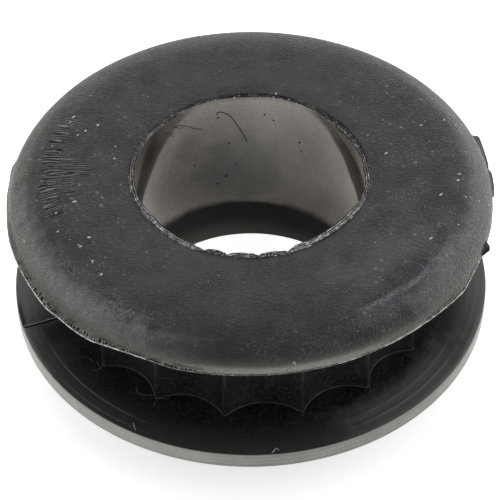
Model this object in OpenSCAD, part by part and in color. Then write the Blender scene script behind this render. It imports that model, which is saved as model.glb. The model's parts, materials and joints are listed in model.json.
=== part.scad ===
// Shifter cable bushing: a rubber spool moulded in one piece.
// The end of a control cable sits in the groove, and the pin of a lever passes through the bore.
// The origin is at the centre of the nose's flat end, with +Z along the bore towards the upper flange.

/* [Upper flange] */
// Diameter of the upper flange at its lower edge
upper_d = 24.8; // [23:0.1:32]
// Thickness of the upper flange
upper_t = 1.6; // [1:0.1:4]
// Width of the rounded shoulder, measured inwards from the edge
shoulder_w = 3.2; // [0.5:0.1:4]
// Height of the plain edge under the shoulder, where the mould parts
edge_h = 0.05; // [0.05:0.05:0.5]

/* [Lower flange] */
// Diameter of the lower flange
lower_d = 25; // [23:0.1:32]
// Thickness of the lower flange
lower_t = 0.9; // [0.6:0.1:3]

/* [Nose] */
// Height of the tapered nose below the lower flange
nose_h = 2.5; // [1:0.1:5]
// Diameter of the flat end of the nose
nose_d = 20; // [17:0.1:22]
// Height of the small bevel round the flat end
nose_bevel = 0.3; // [0.1:0.05:0.6]

/* [Groove] */
// Width of the groove between the flanges
groove_w = 5.9; // [3:0.1:12]
// Diameter of the waist across the tops of its ridges
waist_d = 20; // [18.5:0.1:22]

/* [Flutes] */
// Number of flutes round the waist
flute_count = 17; // [8:1:20]
// Radius of the hollow of each flute
flute_r = 2.4; // [2:0.1:5]
// Depth of each flute below the tops of the ridges
flute_depth = 0.93; // [0.3:0.01:1.2]
// Angle of the first flute about the bore
flute_turn = 19.4; // [0:0.1:22.5]

/* [Bore] */
// Diameter of the bore
bore_d = 12.7; // [8:0.1:14]
// How far the thin lip at the top stands into the bore
lip_w = 0.35; // [0.1:0.05:1]
// Thickness of that lip
lip_t = 0.3; // [0.1:0.05:1]

/* [Hidden] */
$fn = 180;
// Segments along the curve of the shoulder
SHOULDER_STEPS = 20;
// How far a cut runs past the face that it opens
CUT_PAST = 1;
// How far the waist runs into each flange
ROOT_IN = 0.5;

upper_r = upper_d / 2;
lower_r = lower_d / 2;
waist_r = waist_d / 2;
nose_r = nose_d / 2;
bore_r = bore_d / 2;
lower_top_z = nose_h + lower_t;
upper_bottom_z = lower_top_z + groove_w;
top_z = upper_bottom_z + upper_t;
shoulder_z = upper_bottom_z + edge_h;
shoulder_h = upper_t - edge_h;

// A quarter of an ellipse, from the top of the plain edge in to the flat top
function shoulder_curve() = [
    for (i = [0 : SHOULDER_STEPS])
        let (angle = 90 * i / SHOULDER_STEPS)
        [upper_r - shoulder_w * (1 - cos(angle)), shoulder_z + shoulder_h * sin(angle)]
];

// The upper flange, flat on top and underneath, with a rounded shoulder
module upper_flange() {
    rotate_extrude()
        polygon(concat(
            [[0, upper_bottom_z], [upper_r, upper_bottom_z]],
            shoulder_curve(),
            [[0, top_z]]
        ));
}

// The lower flange and the nose that tapers down from its rim
module lower_flange() {
    rotate_extrude()
        polygon([
            [0, 0],
            [nose_r - nose_bevel, 0],
            [nose_r, nose_bevel],
            [lower_r, nose_h],
            [lower_r, lower_top_z],
            [0, lower_top_z]
        ]);
}

// The waist, with hollow flutes side by side and a narrow ridge left between each pair
module waist() {
    root_z = lower_top_z - ROOT_IN;
    root_h = groove_w + 2 * ROOT_IN;
    difference() {
        translate([0, 0, root_z])
            cylinder(r = waist_r, h = root_h);
        for (i = [0 : flute_count - 1])
            rotate(flute_turn + 360 * i / flute_count)
                translate([waist_r - flute_depth + flute_r, 0, root_z - CUT_PAST])
                    cylinder(r = flute_r, h = root_h + 2 * CUT_PAST);
    }
}

// The bore, full width up to the lip, and narrower through it
module bore() {
    translate([0, 0, -CUT_PAST])
        cylinder(r = bore_r, h = CUT_PAST + top_z - lip_t);
    cylinder(r = bore_r - lip_w, h = top_z + CUT_PAST);
}

// The whole bushing
module bushing() {
    color([0.11, 0.11, 0.115])
        difference() {
            union() {
                lower_flange();
                waist();
                upper_flange();
            }
            bore();
        }
}

bushing();
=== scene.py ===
"""Shifter cable bushing: the finish of a rubber spool that is moulded in one piece.

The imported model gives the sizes. The visible rubber is a finer mesh of the same spool. It has the torn flash
that the mould leaves at the bore's mouth and under the upper flange, the step of the mould's split line, and
some dust.
"""

import json
import logging
import math
from dataclasses import dataclass, field
from enum import Enum
from typing import Dict, List, Optional, Sequence, Tuple

import bpy
import numpy as np
from bpy.types import Material, Node, NodeInputs, NodeOutputs, NodeSocket, NodeTree, Object
from mathutils import Matrix, Vector

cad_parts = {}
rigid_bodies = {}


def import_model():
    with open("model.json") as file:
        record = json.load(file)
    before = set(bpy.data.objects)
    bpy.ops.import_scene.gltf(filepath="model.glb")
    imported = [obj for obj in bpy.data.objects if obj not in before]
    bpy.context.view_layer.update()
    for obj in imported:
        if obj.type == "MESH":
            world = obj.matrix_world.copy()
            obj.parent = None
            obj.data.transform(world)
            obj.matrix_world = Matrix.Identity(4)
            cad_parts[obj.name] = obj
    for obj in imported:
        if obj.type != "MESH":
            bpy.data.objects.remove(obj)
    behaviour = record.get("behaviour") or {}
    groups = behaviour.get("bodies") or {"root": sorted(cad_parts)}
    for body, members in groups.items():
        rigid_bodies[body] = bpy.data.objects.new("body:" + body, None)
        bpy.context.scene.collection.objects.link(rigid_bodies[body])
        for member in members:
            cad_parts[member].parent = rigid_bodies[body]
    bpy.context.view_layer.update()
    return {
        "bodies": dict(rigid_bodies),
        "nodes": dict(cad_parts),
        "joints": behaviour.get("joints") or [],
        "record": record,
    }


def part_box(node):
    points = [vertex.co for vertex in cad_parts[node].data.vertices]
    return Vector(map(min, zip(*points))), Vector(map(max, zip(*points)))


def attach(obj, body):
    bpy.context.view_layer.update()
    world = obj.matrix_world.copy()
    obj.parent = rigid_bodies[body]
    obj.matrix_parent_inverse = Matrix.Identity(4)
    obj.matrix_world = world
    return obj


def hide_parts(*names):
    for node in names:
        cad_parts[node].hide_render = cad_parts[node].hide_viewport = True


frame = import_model()

log = logging.getLogger("bushing")

MM = 0.001
NODE = "bushing"
BODY = "root"
RGB = Tuple[float, float, float]
Pair = Tuple[float, float]
Table = Tuple[Pair, ...]


class Zone(Enum):
    """The surfaces of the spool that have a finish of their own; the value is the material's index."""

    TOP = 0
    BORE = 1
    GROOVE = 2
    RIM = 3
    NOSE = 4


# ------------------------------------------------------------
# Sizes


@dataclass(frozen=True)
class SpoolSizes:
    """Sizes of the spool in metres, in the part's own frame, with the nose's flat end at zero height."""

    bore_r: float
    lip_r: float
    lip_z: float
    waist_r: float
    upper_r: float
    lower_r: float
    nose_r: float
    nose_z: float
    lower_top_z: float
    upper_bottom_z: float
    top_z: float
    shoulder_w: float = 3.2 * MM
    edge_h: float = 0.05 * MM
    nose_bevel: float = 0.3 * MM
    flute_count: int = 17
    flute_r: float = 2.4 * MM
    flute_depth: float = 0.93 * MM
    flute_turn: float = math.radians(19.4)
    top_drop: float = 0.02 * MM

    @classmethod
    def from_frame(cls, packed: dict) -> "SpoolSizes":
        """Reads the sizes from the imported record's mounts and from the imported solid.


        Returns:
            The sizes of the spool.
        """
        mounts = {mount["name"]: mount for mount in packed["record"]["mounts"]}
        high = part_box(NODE)[1]
        points = np.array([vertex.co for vertex in packed["nodes"][NODE].data.vertices])
        reach = np.hypot(points[:, 0], points[:, 1])
        lower_top_z = mounts["groove_lower_face"]["pos_m"][2]
        upper_bottom_z = mounts["groove_upper_face"]["pos_m"][2]
        near = 0.01 * MM
        rim = reach > high.x - near
        return cls(
            bore_r=mounts["bore"]["dims"]["r_mm"] * MM,
            lip_r=float(reach.min()),
            lip_z=mounts["bore"]["dims"]["length_mm"] * MM,
            waist_r=mounts["groove"]["dims"]["r_mm"] * MM,
            upper_r=float(reach[points[:, 2] > upper_bottom_z - near].max()),
            lower_r=high.x,
            nose_r=float(reach[points[:, 2] < cls.nose_bevel + near].max()),
            nose_z=float(points[rim, 2].min()),
            lower_top_z=lower_top_z,
            upper_bottom_z=upper_bottom_z,
            top_z=high.z,
        )

    @property
    def level(self) -> float:
        """Height of the upper flange's flat top, a hair under the part's full height."""
        return self.top_z - self.top_drop

    @property
    def shoulder_r(self) -> float:
        """Radius at which the flat top turns into the shoulder."""
        return self.upper_r - self.shoulder_w

    @property
    def shoulder_z(self) -> float:
        """Height of the shoulder's lower edge."""
        return self.upper_bottom_z + self.edge_h

    def top_height(self, radius: float) -> float:
        """Height of the rubber on top of the upper flange.

        Args:
            radius: Distance from the bore's axis, in metres.

        Returns:
            The height, in metres.
        """
        across = min(max((radius - self.shoulder_r) / self.shoulder_w, 0.0), 1.0)
        return self.shoulder_z + (self.level - self.shoulder_z) * math.sqrt(1.0 - across * across)


# ------------------------------------------------------------
# Node trees


class Tree:
    """A thin helper that adds nodes to a node tree and wires them by socket name or index."""

    def __init__(self, tree: NodeTree) -> None:
        """Keeps the tree that the nodes go into."""
        self.tree = tree

    def node(self, kind: str, inputs: Optional[dict] = None, **settings: object) -> Node:
        """Adds one node.

        Args:
            kind: The node's type name.
            inputs: Values or output sockets by the input's name or index.
            **settings: Properties of the node.

        Returns:
            The new node.
        """
        made = self.tree.nodes.new(kind)
        for name, value in settings.items():
            setattr(made, name, value)
        for key, value in (inputs or {}).items():
            self.feed(made.inputs[key], value)
        return made

    def feed(self, socket: NodeSocket, value: object) -> None:
        """Links an output socket to an input, or sets the input's value."""
        if isinstance(value, NodeSocket):
            self.tree.links.new(value, socket)
        else:
            socket.default_value = value

    def out(self, kind: str, inputs: Optional[dict] = None, output: object = 0,
            **settings: object) -> NodeSocket:
        """Adds a node and returns one of its output sockets."""
        return self.node(kind, inputs, **settings).outputs[output]

    def math(self, operation: str, *values: object) -> NodeSocket:
        """Adds a Math node on up to three values and returns its result."""
        return self.out("ShaderNodeMath", dict(enumerate(values)), operation=operation)

    def ramp(self, value: object, low: object, high: object) -> NodeSocket:
        """Maps low..high smoothly to 0..1; low may be above high, which turns the ramp round."""
        inputs = {0: value, 1: low, 2: high}
        return self.out("ShaderNodeMapRange", inputs, interpolation_type="SMOOTHSTEP")

    def spread(self, value: object, low: object, high: object, start: object = 0.0,
               end: object = 1.0) -> NodeSocket:
        """Maps start..end evenly to low..high, and holds both ends."""
        return self.out("ShaderNodeMapRange", {0: value, 1: start, 2: end, 3: low, 4: high})

    def axis(self, vector: object, index: int) -> NodeSocket:
        """One coordinate of a vector."""
        return self.out("ShaderNodeSeparateXYZ", {0: vector}, index)

    def flat_radius(self, vector: object) -> NodeSocket:
        """How far a point is from the bore's axis."""
        squares = [self.math("POWER", self.axis(vector, index), 2.0) for index in (0, 1)]
        return self.math("SQRT", self.math("ADD", *squares))

    def scale_for(self, size: object) -> NodeSocket:
        """The scale of a texture whose cells are the given number of millimetres wide."""
        return self.math("DIVIDE", 1.0 / MM, size)

    def noise(self, vector: object, scale: object, detail: float = 2.0, roughness: float = 0.5,
              seed: Optional[object] = None) -> NodeSocket:
        """Adds a noise texture.

        Args:
            vector: Where the noise is read.
            scale: Its scale.
            detail: How many finer noises are laid over it.
            roughness: How strong the finer noises are.
            seed: The place along the fourth axis, for a noise that has one.

        Returns:
            The noise, which swings round one half.
        """
        inputs = {"Vector": vector, "Scale": scale, "Detail": detail, "Roughness": roughness}
        if seed is None:
            return self.out("ShaderNodeTexNoise", inputs)
        return self.out("ShaderNodeTexNoise", {**inputs, "W": seed}, noise_dimensions="4D")

    def attribute(self, name: str, kind: str = "FLOAT") -> NodeSocket:
        """Reads a named attribute of a geometry."""
        return self.out("GeometryNodeInputNamedAttribute", {"Name": name}, data_type=kind)

    def swing(self, noise: object, amount: object) -> NodeSocket:
        """How far a noise swings to either side of one half, times an amount."""
        return self.math("MULTIPLY", self.math("SUBTRACT", noise, 0.5), amount)

    def mix(self, factor: object, first: object, second: object) -> NodeSocket:
        """Mixes two colours.

        Args:
            factor: The second colour's share.
            first: A colour, or the socket that gives it.
            second: The same.

        Returns:
            The mixed colour.
        """
        made = self.node("ShaderNodeMix", data_type="RGBA")
        self.feed(made.inputs[0], factor)
        for index, colour in ((6, first), (7, second)):
            wired = isinstance(colour, NodeSocket)
            self.feed(made.inputs[index], colour if wired else (*colour, 1.0))
        return made.outputs[2]


FLOAT = "NodeSocketFloat"
VECTOR = "NodeSocketVector"
GEOMETRY = "NodeSocketGeometry"
KINDS = {float: FLOAT, int: "NodeSocketInt"}


def add_sockets(tree: NodeTree, side: str, sockets: Dict[str, object]) -> None:
    """Makes a group's named sockets.

    Args:
        tree: The group's node tree.
        side: INPUT or OUTPUT.
        sockets: By name, the default value of a number, or else the socket's type.
    """
    for name, given in sockets.items():
        kind = KINDS.get(type(given), given)
        made = tree.interface.new_socket(name=name, in_out=side, socket_type=kind)
        if kind != given:
            made.default_value = given


class ShaderGroups:
    """The effects that several finishes share, each built once as a group with named sockets."""

    def __init__(self) -> None:
        """Builds every group."""
        self.grain = self._grain()
        self.dust = self._dust()
        self.rings = self._rings()
        self.place = self._place()
        self.patch = self._patch()
        self.band = self._band()
        self.ripples = self._ripples()

    @staticmethod
    def _start(name: str, inputs: Dict[str, object],
               outputs: Sequence[str]) -> Tuple[Tree, NodeOutputs, NodeInputs]:
        """Makes an empty group that reads a vector.

        Args:
            name: The group's name.
            inputs: Its other inputs, as add_sockets takes them.
            outputs: The names of its outputs.

        Returns:
            The group's helper, what it is given and what it has to put out.
        """
        group = bpy.data.node_groups.new(name, "ShaderNodeTree")
        add_sockets(group, "INPUT", {"Vector": VECTOR, **inputs})
        add_sockets(group, "OUTPUT", dict.fromkeys(outputs, FLOAT))
        tree = Tree(group)
        return tree, tree.node("NodeGroupInput").outputs, tree.node("NodeGroupOutput").inputs

    def _grain(self) -> NodeTree:
        """Fine grain of the moulded rubber: a height, and a slow mottle for the colour."""
        tree, given, result = self._start(
            "Rubber grain", {"Grain size": 0.08, "Mottle size": 1.5, "Contrast": 1.0},
            ("Height", "Mottle", "Fleck", "Speckle"),
        )
        vector = given["Vector"]
        fine_scale = tree.scale_for(given["Grain size"])
        fine = tree.noise(vector, fine_scale, 1.5)
        pits = tree.out("ShaderNodeTexVoronoi", {"Vector": vector, "Scale": fine_scale}, "Distance")
        height = tree.math("ADD", fine, tree.math("MULTIPLY", tree.ramp(pits, 0.0, 0.5), 0.35))
        tree.feed(result["Height"], height)
        tree.feed(result["Fleck"], tree.ramp(fine, 0.50, 0.66))
        tree.feed(result["Speckle"], tree.ramp(fine, 0.36, 0.62))
        slow = tree.noise(vector, tree.scale_for(given["Mottle size"]), 5.0, 0.65)
        mottle = tree.math("ADD", tree.swing(slow, given["Contrast"]), 0.5)
        tree.feed(result["Mottle"], mottle)
        return tree.tree

    def _dust(self) -> NodeTree:
        """Scattered pale specks: a mask that is 1 on a speck."""
        tree, given, result = self._start(
            "Dust specks", {"Cell size": 0.6, "Speck size": 0.12, "Share": 0.3}, ("Mask",),
        )
        scale = tree.scale_for(given["Cell size"])
        cells = tree.node("ShaderNodeTexVoronoi", {"Vector": given["Vector"], "Scale": scale})
        parts = tree.node("ShaderNodeSeparateColor", {0: cells.outputs["Color"]})
        share_of_size = tree.math("ADD", tree.math("MULTIPLY", parts.outputs["Green"], 0.8), 0.3)
        reach = tree.math("MULTIPLY", share_of_size, given["Speck size"])
        spot = tree.ramp(cells.outputs["Distance"], reach, 0.0)
        picked = tree.math("LESS_THAN", parts.outputs["Red"], given["Share"])
        tree.feed(result["Mask"], tree.math("MULTIPLY", spot, picked))
        return tree.tree

    def _rings(self) -> NodeTree:
        """Turning marks round the bore's axis, broken up a little: a height around zero."""
        tree, given, result = self._start("Turned rings", {"Pitch": 0.2, "Breaks": 0.5}, ("Height",))
        vector = given["Vector"]
        along = tree.out("ShaderNodeCombineXYZ", {0: tree.flat_radius(vector), 2: tree.axis(vector, 2)})
        lines = tree.noise(along, tree.scale_for(given["Pitch"]))
        patchy = tree.noise(vector, 700.0)
        fade = tree.math("SUBTRACT", 1.0, tree.math("MULTIPLY", patchy, given["Breaks"]))
        height = tree.swing(lines, fade)
        tree.feed(result["Height"], tree.math("MULTIPLY", height, 3.0))
        return tree.tree

    def _place(self) -> NodeTree:
        """Where a point lies on the spool: its radius and height in millimetres, and its angle in degrees."""
        tree, given, result = self._start("Place on the spool", {}, ("Radius", "Height", "Angle"))
        vector = given["Vector"]
        angle = tree.math("ARCTAN2", tree.axis(vector, 1), tree.axis(vector, 0))
        tree.feed(result["Radius"], tree.math("MULTIPLY", tree.flat_radius(vector), 1.0 / MM))
        tree.feed(result["Height"], tree.math("MULTIPLY", tree.axis(vector, 2), 1.0 / MM))
        tree.feed(result["Angle"], tree.math("DEGREES", angle))
        return tree.tree

    def _patch(self) -> NodeTree:
        """A soft patch of uneven outline round a point: a mask that is 1 at its middle."""
        tree, given, result = self._start(
            "Soft patch", {"Centre": VECTOR, "Size": 0.002, "Ragged": 0.5}, ("Mask",),
        )
        points = {0: given["Vector"], 1: given["Centre"]}
        gap = tree.out("ShaderNodeVectorMath", points, "Value", operation="DISTANCE")
        share = tree.math("DIVIDE", gap, given["Size"])
        ragged = tree.swing(tree.noise(given["Vector"], 900.0, 3.0), given["Ragged"])
        tree.feed(result["Mask"], tree.ramp(tree.math("ADD", share, ragged), 1.0, 0.35))
        return tree.tree

    def _band(self) -> NodeTree:
        """A ragged stretch of a ring, by radius and angle: a mask that is 1 along its middle."""
        tree, given, result = self._start(
            "Ring patch", {"Radius": 11.0, "Half width": 0.5, "Angle": 0.0, "Half span": 20.0, "Ragged": 0.5},
            ("Mask",),
        )
        place = tree.node("ShaderNodeGroup", node_tree=self.place)
        tree.feed(place.inputs["Vector"], given["Vector"])
        off = tree.math("SUBTRACT", place.outputs["Radius"], given["Radius"])
        turn = tree.math("SUBTRACT", place.outputs["Angle"], given["Angle"])
        turn = tree.math("WRAP", turn, 180.0, -180.0)
        share = tree.math(
            "MAXIMUM", tree.math("DIVIDE", tree.math("ABSOLUTE", off), given["Half width"]),
            tree.math("DIVIDE", tree.math("ABSOLUTE", turn), given["Half span"]),
        )
        ragged = tree.swing(tree.noise(given["Vector"], 1500.0, 4.0), given["Ragged"])
        tree.feed(result["Mask"], tree.ramp(tree.math("ADD", share, ragged), 1.0, 0.25))
        return tree.tree

    def _ripples(self) -> NodeTree:
        """Short ripples that run towards the axis, side by side: a height around zero."""
        tree, given, result = self._start(
            "Short ripples", {"Spacing": 0.20, "Length": 0.8, "Radius": 10.4}, ("Height",),
        )
        place = tree.node("ShaderNodeGroup", node_tree=self.place)
        tree.feed(place.inputs["Vector"], given["Vector"])
        arc = tree.math("MULTIPLY", tree.math("RADIANS", place.outputs["Angle"]), given["Radius"])
        along = tree.math("DIVIDE", arc, given["Spacing"])
        inward = tree.math("DIVIDE", place.outputs["Radius"], given["Length"])
        where = tree.out("ShaderNodeCombineXYZ", {0: along, 1: inward})
        turns = tree.math("MULTIPLY_ADD", tree.noise(where, 0.45, 1.0), 3.0, along)
        swell = tree.noise(where, 1.1, 1.0)
        wave = tree.math("SINE", tree.math("MULTIPLY", turns, 2.0 * math.pi))
        wave = tree.math("MULTIPLY", wave, tree.ramp(swell, 0.30, 0.62))
        tree.feed(result["Height"], tree.math("MULTIPLY", wave, 0.55))
        return tree.tree


# ------------------------------------------------------------
# Finishes


@dataclass(frozen=True)
class Stretch:
    """A stretch of a ring on a flange, in millimetres and degrees, and how strongly a tone covers it."""

    radius: float
    half_width: float
    angle: float
    half_span: float
    share: float
    ragged: float = 1.0


class Surface(Tree):
    """The node tree of one material, with its coordinates, its shader and the shared groups at hand."""

    def __init__(self, name: str, groups: ShaderGroups, constants: Dict[str, object]) -> None:
        """Starts a material.

        Args:
            name: The material's name.
            groups: The shared shader groups.
            constants: Values set on the shader's own sockets.
        """
        self.material = bpy.data.materials.new(name)
        self.material.use_nodes = True
        super().__init__(self.material.node_tree)
        self.groups = groups
        self.shader = self.tree.nodes["Principled BSDF"]
        for socket, value in constants.items():
            self.shader.inputs[socket].default_value = value
        self.where = self.out("ShaderNodeTexCoord", output="Object")
        self.colour: object = None

    def group(self, tree: NodeTree, **inputs: object) -> Node:
        """Places a shared group that reads the piece's own coordinates.

        Args:
            tree: The group.
            **inputs: Values or output sockets by the input's name.

        Returns:
            The group's node.
        """
        made = self.node("ShaderNodeGroup", node_tree=tree)
        self.feed(made.inputs["Vector"], self.where)
        for name, value in inputs.items():
            self.feed(made.inputs[name.replace("_", " ").capitalize()], value)
        return made

    def bump(self, height: object, distance: float, strength: float = 1.0,
             normal: Optional[NodeSocket] = None) -> NodeSocket:
        """Adds a Bump node.

        Args:
            height: The height that it turns into a normal.
            distance: How high a height of 1 stands, in metres.
            strength: The share of the effect.
            normal: The normal of a bump under this one.

        Returns:
            The normal.
        """
        inputs = {"Height": height, "Distance": distance, "Strength": strength}
        if normal is not None:
            inputs["Normal"] = normal
        return self.out("ShaderNodeBump", inputs)

    def cover(self, mask: object, tone: RGB) -> None:
        """Covers the colour so far with a tone where a mask says so."""
        self.colour = self.mix(mask, self.colour, tone)

    def blend(self, mask: object, share: float, tone: RGB) -> None:
        """Covers the colour so far with a tone where a mask says so, up to the given share."""
        self.cover(self.math("MULTIPLY", mask, share), tone)

    def stretch(self, area: Stretch) -> NodeSocket:
        """The mask of a ragged stretch of a ring."""
        made = self.group(self.groups.band, radius=area.radius, half_width=area.half_width, angle=area.angle,
                          half_span=area.half_span, ragged=area.ragged)
        return made.outputs["Mask"]

    def strongest(self, areas: Sequence[Stretch]) -> NodeSocket:
        """The strongest of several stretches at each point, each up to its own share."""
        made: object = 0.0
        for area in areas:
            made = self.math("MAXIMUM", made, self.math("MULTIPLY", self.stretch(area), area.share))
        return made

    def lay(self, areas: Sequence[Stretch], tone: RGB, grit: object = 1.0) -> None:
        """Lays a tone over some stretches.

        Args:
            areas: Where the tone lies.
            tone: The tone.
            grit: How much of the tone shows between the grains.
        """
        for area in areas:
            self.blend(self.math("MULTIPLY", self.stretch(area), grit), area.share, tone)

    def set(self, **inputs: object) -> None:
        """Wires the shader's inputs, such as base_color or normal."""
        for name, value in inputs.items():
            self.feed(self.shader.inputs[name.replace("_", " ").title()], value)


class Finish:
    """What every finish offers."""

    def build(self, groups: ShaderGroups, sizes: SpoolSizes) -> Material:
        """Builds the finish's material.

        Args:
            groups: The shared shader groups.
            sizes: The sizes of the spool, for tones that follow its edges.

        Returns:
            The material.
        """
        raise NotImplementedError


@dataclass(frozen=True)
class MatteTop(Finish):
    """The dull top of the upper flange: fine speckle, bluish patches in front, ripples at the left with
    painted highlight on their crests and painted shade in their troughs.

    The shoulder turns browner and lighter towards its lower edge, partly its own tone and partly painted
    sheen, and has fine streaks round it there. Painted sheen lies along its outer edges, painted shade on its
    front, painted highlight along its crease in front at the right, and a painted reflection of the floor
    along its lower edge. The skirt's two numbers are in millimetres.
    """

    name: str = "Matte rubber"
    base: RGB = (0.0040, 0.0041, 0.0042)
    pale: RGB = (0.0200, 0.0205, 0.0212)
    # dark: dark speckle, and painted shade on the front of the shoulder and in the ripples' troughs
    dark: RGB = (0.0008, 0.0008, 0.0008)
    fleck: RGB = (0.070, 0.071, 0.073)
    # crest: painted highlight on the ripples' crests
    crest: RGB = (0.140, 0.140, 0.136)
    mote: RGB = (0.20, 0.20, 0.195)
    # skirt: the lower shoulder's browner tone, partly its own and partly painted sheen
    skirt: RGB = (0.082, 0.077, 0.066)
    streak: RGB = (0.30, 0.29, 0.265)
    # edge: painted reflection of the floor along the shoulder's lower edge
    edge: RGB = (0.27, 0.26, 0.24)
    # nick: dark streaks, and painted shade in a band over the shoulder's lower edge
    nick: RGB = (0.006, 0.006, 0.0055)
    bluish_tone: RGB = (0.077, 0.082, 0.098)
    # Painted highlight along the shoulder's crease in front at the right
    crease_highlight: RGB = (0.112, 0.117, 0.133)
    bluish_patches: Tuple[Stretch, ...] = (
        Stretch(11.2, 0.85, -134.0, 26.0, 0.45, 1.6), Stretch(11.3, 0.45, -121.0, 10.0, 0.45, 1.6),
        Stretch(11.45, 0.5, -107.0, 10.0, 0.35, 1.8), Stretch(11.2, 0.6, -57.0, 11.0, 0.45, 1.6),
        Stretch(11.1, 0.7, -30.0, 15.0, 0.45, 1.4),
    )
    # Stretches of the painted highlight along the crease
    crease_highlights: Tuple[Stretch, ...] = (
        Stretch(10.87, 0.17, -54.0, 10.0, 0.75, 0.5), Stretch(10.97, 0.20, -42.0, 8.0, 0.8, 0.6),
        Stretch(11.05, 0.35, -30.0, 9.0, 0.5, 0.8),
    )
    # Painted sheen on the shoulder's outer edges, where they mirror the light surround
    sheen_tone: RGB = (0.165, 0.160, 0.146)
    # Cooler painted sheen, mostly on the right edge, where more light falls
    cool_sheen_tone: RGB = (0.165, 0.169, 0.176)
    painted_sheen: Tuple[Stretch, ...] = (
        Stretch(12.1, 0.85, -143.0, 46.0, 0.68, 0.5), Stretch(12.2, 0.9, 90.0, 70.0, 0.25, 0.5),
        Stretch(12.1, 1.0, 172.0, 34.0, 0.37, 0.5), Stretch(12.0, 0.8, -38.0, 13.0, 0.30, 0.6),
    )
    cool_sheen: Tuple[Stretch, ...] = (
        Stretch(12.1, 1.35, 2.0, 58.0, 0.66, 0.4), Stretch(11.7, 0.9, -146.0, 36.0, 0.30, 1.0),
        Stretch(9.0, 1.9, -42.0, 30.0, 0.14, 1.0), Stretch(11.0, 0.9, 134.0, 24.0, 0.12, 0.6),
        Stretch(10.9, 0.7, 92.0, 34.0, 0.08, 0.6),
    )
    # Painted shade on the front of the shoulder, which faces the dim front
    shaded_front: Tuple[Stretch, ...] = (Stretch(11.5, 0.75, -92.0, 28.0, 0.8, 1.8),)
    scored: Tuple[Stretch, ...] = (
        Stretch(12.3, 0.5, -10.0, 52.0, 0.7, 1.2), Stretch(12.3, 0.3, -50.0, 26.0, 0.8, 1.2),
        Stretch(12.2, 0.9, 175.0, 38.0, 0.35, 1.4), Stretch(12.3, 0.3, -140.0, 26.0, 0.5, 1.2),
    )
    # Where the painted reflection of the floor reaches highest, in front
    floor_reflection_area: Stretch = Stretch(12.4, 1.0, -82.0, 32.0, 0.75, 0.1)
    rippled: Tuple[Stretch, ...] = (
        Stretch(10.25, 0.6, 178.0, 27.0, 1.0, 0.8), Stretch(9.3, 1.6, -178.0, 14.0, 0.4, 1.6),
    )
    coarse_x: Pair = (2.5 * MM, 9.0 * MM)
    rugged_y: Pair = (-6.0 * MM, -9.5 * MM)
    skirt_from: float = 0.80
    skirt_to: float = 0.15
    ripple_low: float = 0.03
    ripple_high: float = 0.24
    score_low: float = 0.05
    score_high: float = 0.6
    grain_depth: float = 0.09 * MM
    ripple_depth: float = 0.20 * MM

    def build(self, groups: ShaderGroups, sizes: SpoolSizes) -> Material:
        """Builds the material."""
        mat = Surface(self.name, groups, {"IOR": 1.5, "Specular IOR Level": 0.38})
        grain = mat.group(groups.grain, grain_size=0.12, mottle_size=1.5, contrast=2.2).outputs
        height = mat.group(groups.place).outputs["Height"]
        coarse = mat.ramp(mat.math("ABSOLUTE", mat.axis(mat.where, 0)), *self.coarse_x)
        rugged = mat.math("MAXIMUM", coarse, mat.ramp(mat.axis(mat.where, 1), *self.rugged_y))
        gritty = mat.spread(rugged, 0.5, 0.95)
        mat.colour = mat.mix(grain["Mottle"], self.base, self.pale)
        mat.blend(mat.math("MULTIPLY", grain["Speckle"], gritty), 1.0, self.dark)
        self._flecks(mat, grain, coarse, rugged)
        self._tones(mat, grain)
        self._motes(mat, grain, coarse)
        wave = mat.math("MULTIPLY", mat.group(groups.ripples).outputs["Height"], mat.strongest(self.rippled))
        # Painted highlight on the ripples' crests and painted shade in their troughs, as well as a bump.
        furrow_shade = mat.ramp(wave, -self.ripple_low, -self.ripple_high)
        mat.blend(mat.ramp(wave, self.ripple_low, self.ripple_high), 1.0, self.crest)
        mat.blend(furrow_shade, 1.0, self.dark)
        # The shoulder turns browner and lighter towards its lower edge: partly its own tone, partly painted
        # sheen.
        skirt = mat.ramp(height, sizes.top_z / MM - self.skirt_from,
                         sizes.upper_bottom_z / MM + self.skirt_to)
        mat.cover(skirt, self.skirt)
        self._scores(mat)
        self._hem(mat, sizes.shoulder_z / MM, height, grain["Mottle"])
        rough = mat.math("ADD", mat.spread(skirt, 0.50, 0.36), mat.spread(grain["Speckle"], -0.04, 0.11))
        rough = mat.math("MULTIPLY_ADD", furrow_shade, 0.35, rough)
        relief = mat.math("MULTIPLY", grain["Height"], mat.math("ADD", gritty, 0.25))
        bumps = mat.bump(relief, self.grain_depth, 0.9)
        bumps = mat.bump(wave, self.ripple_depth, 1.0, bumps)
        mat.set(base_color=mat.colour, roughness=rough, normal=bumps)
        return mat.material

    def _flecks(self, mat: Surface, grain: NodeOutputs, coarse: NodeSocket, rugged: NodeSocket) -> None:
        """Lays pale flecks over the colour, more of them at the sides and in front.

        Args:
            mat: The material's tree.
            grain: What the grain group puts out.
            coarse: How far out to a side a point lies, 0 to 1.
            rugged: The same, and towards the front too.
        """
        strength = mat.math("MAXIMUM", mat.spread(coarse, 0.35, 1.0), mat.math("MULTIPLY", rugged, 0.6))
        strength = mat.math("MULTIPLY", strength, mat.ramp(grain["Mottle"], 0.2, 0.75))
        mat.blend(mat.math("MULTIPLY", grain["Fleck"], strength), 0.9, self.fleck)

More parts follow.
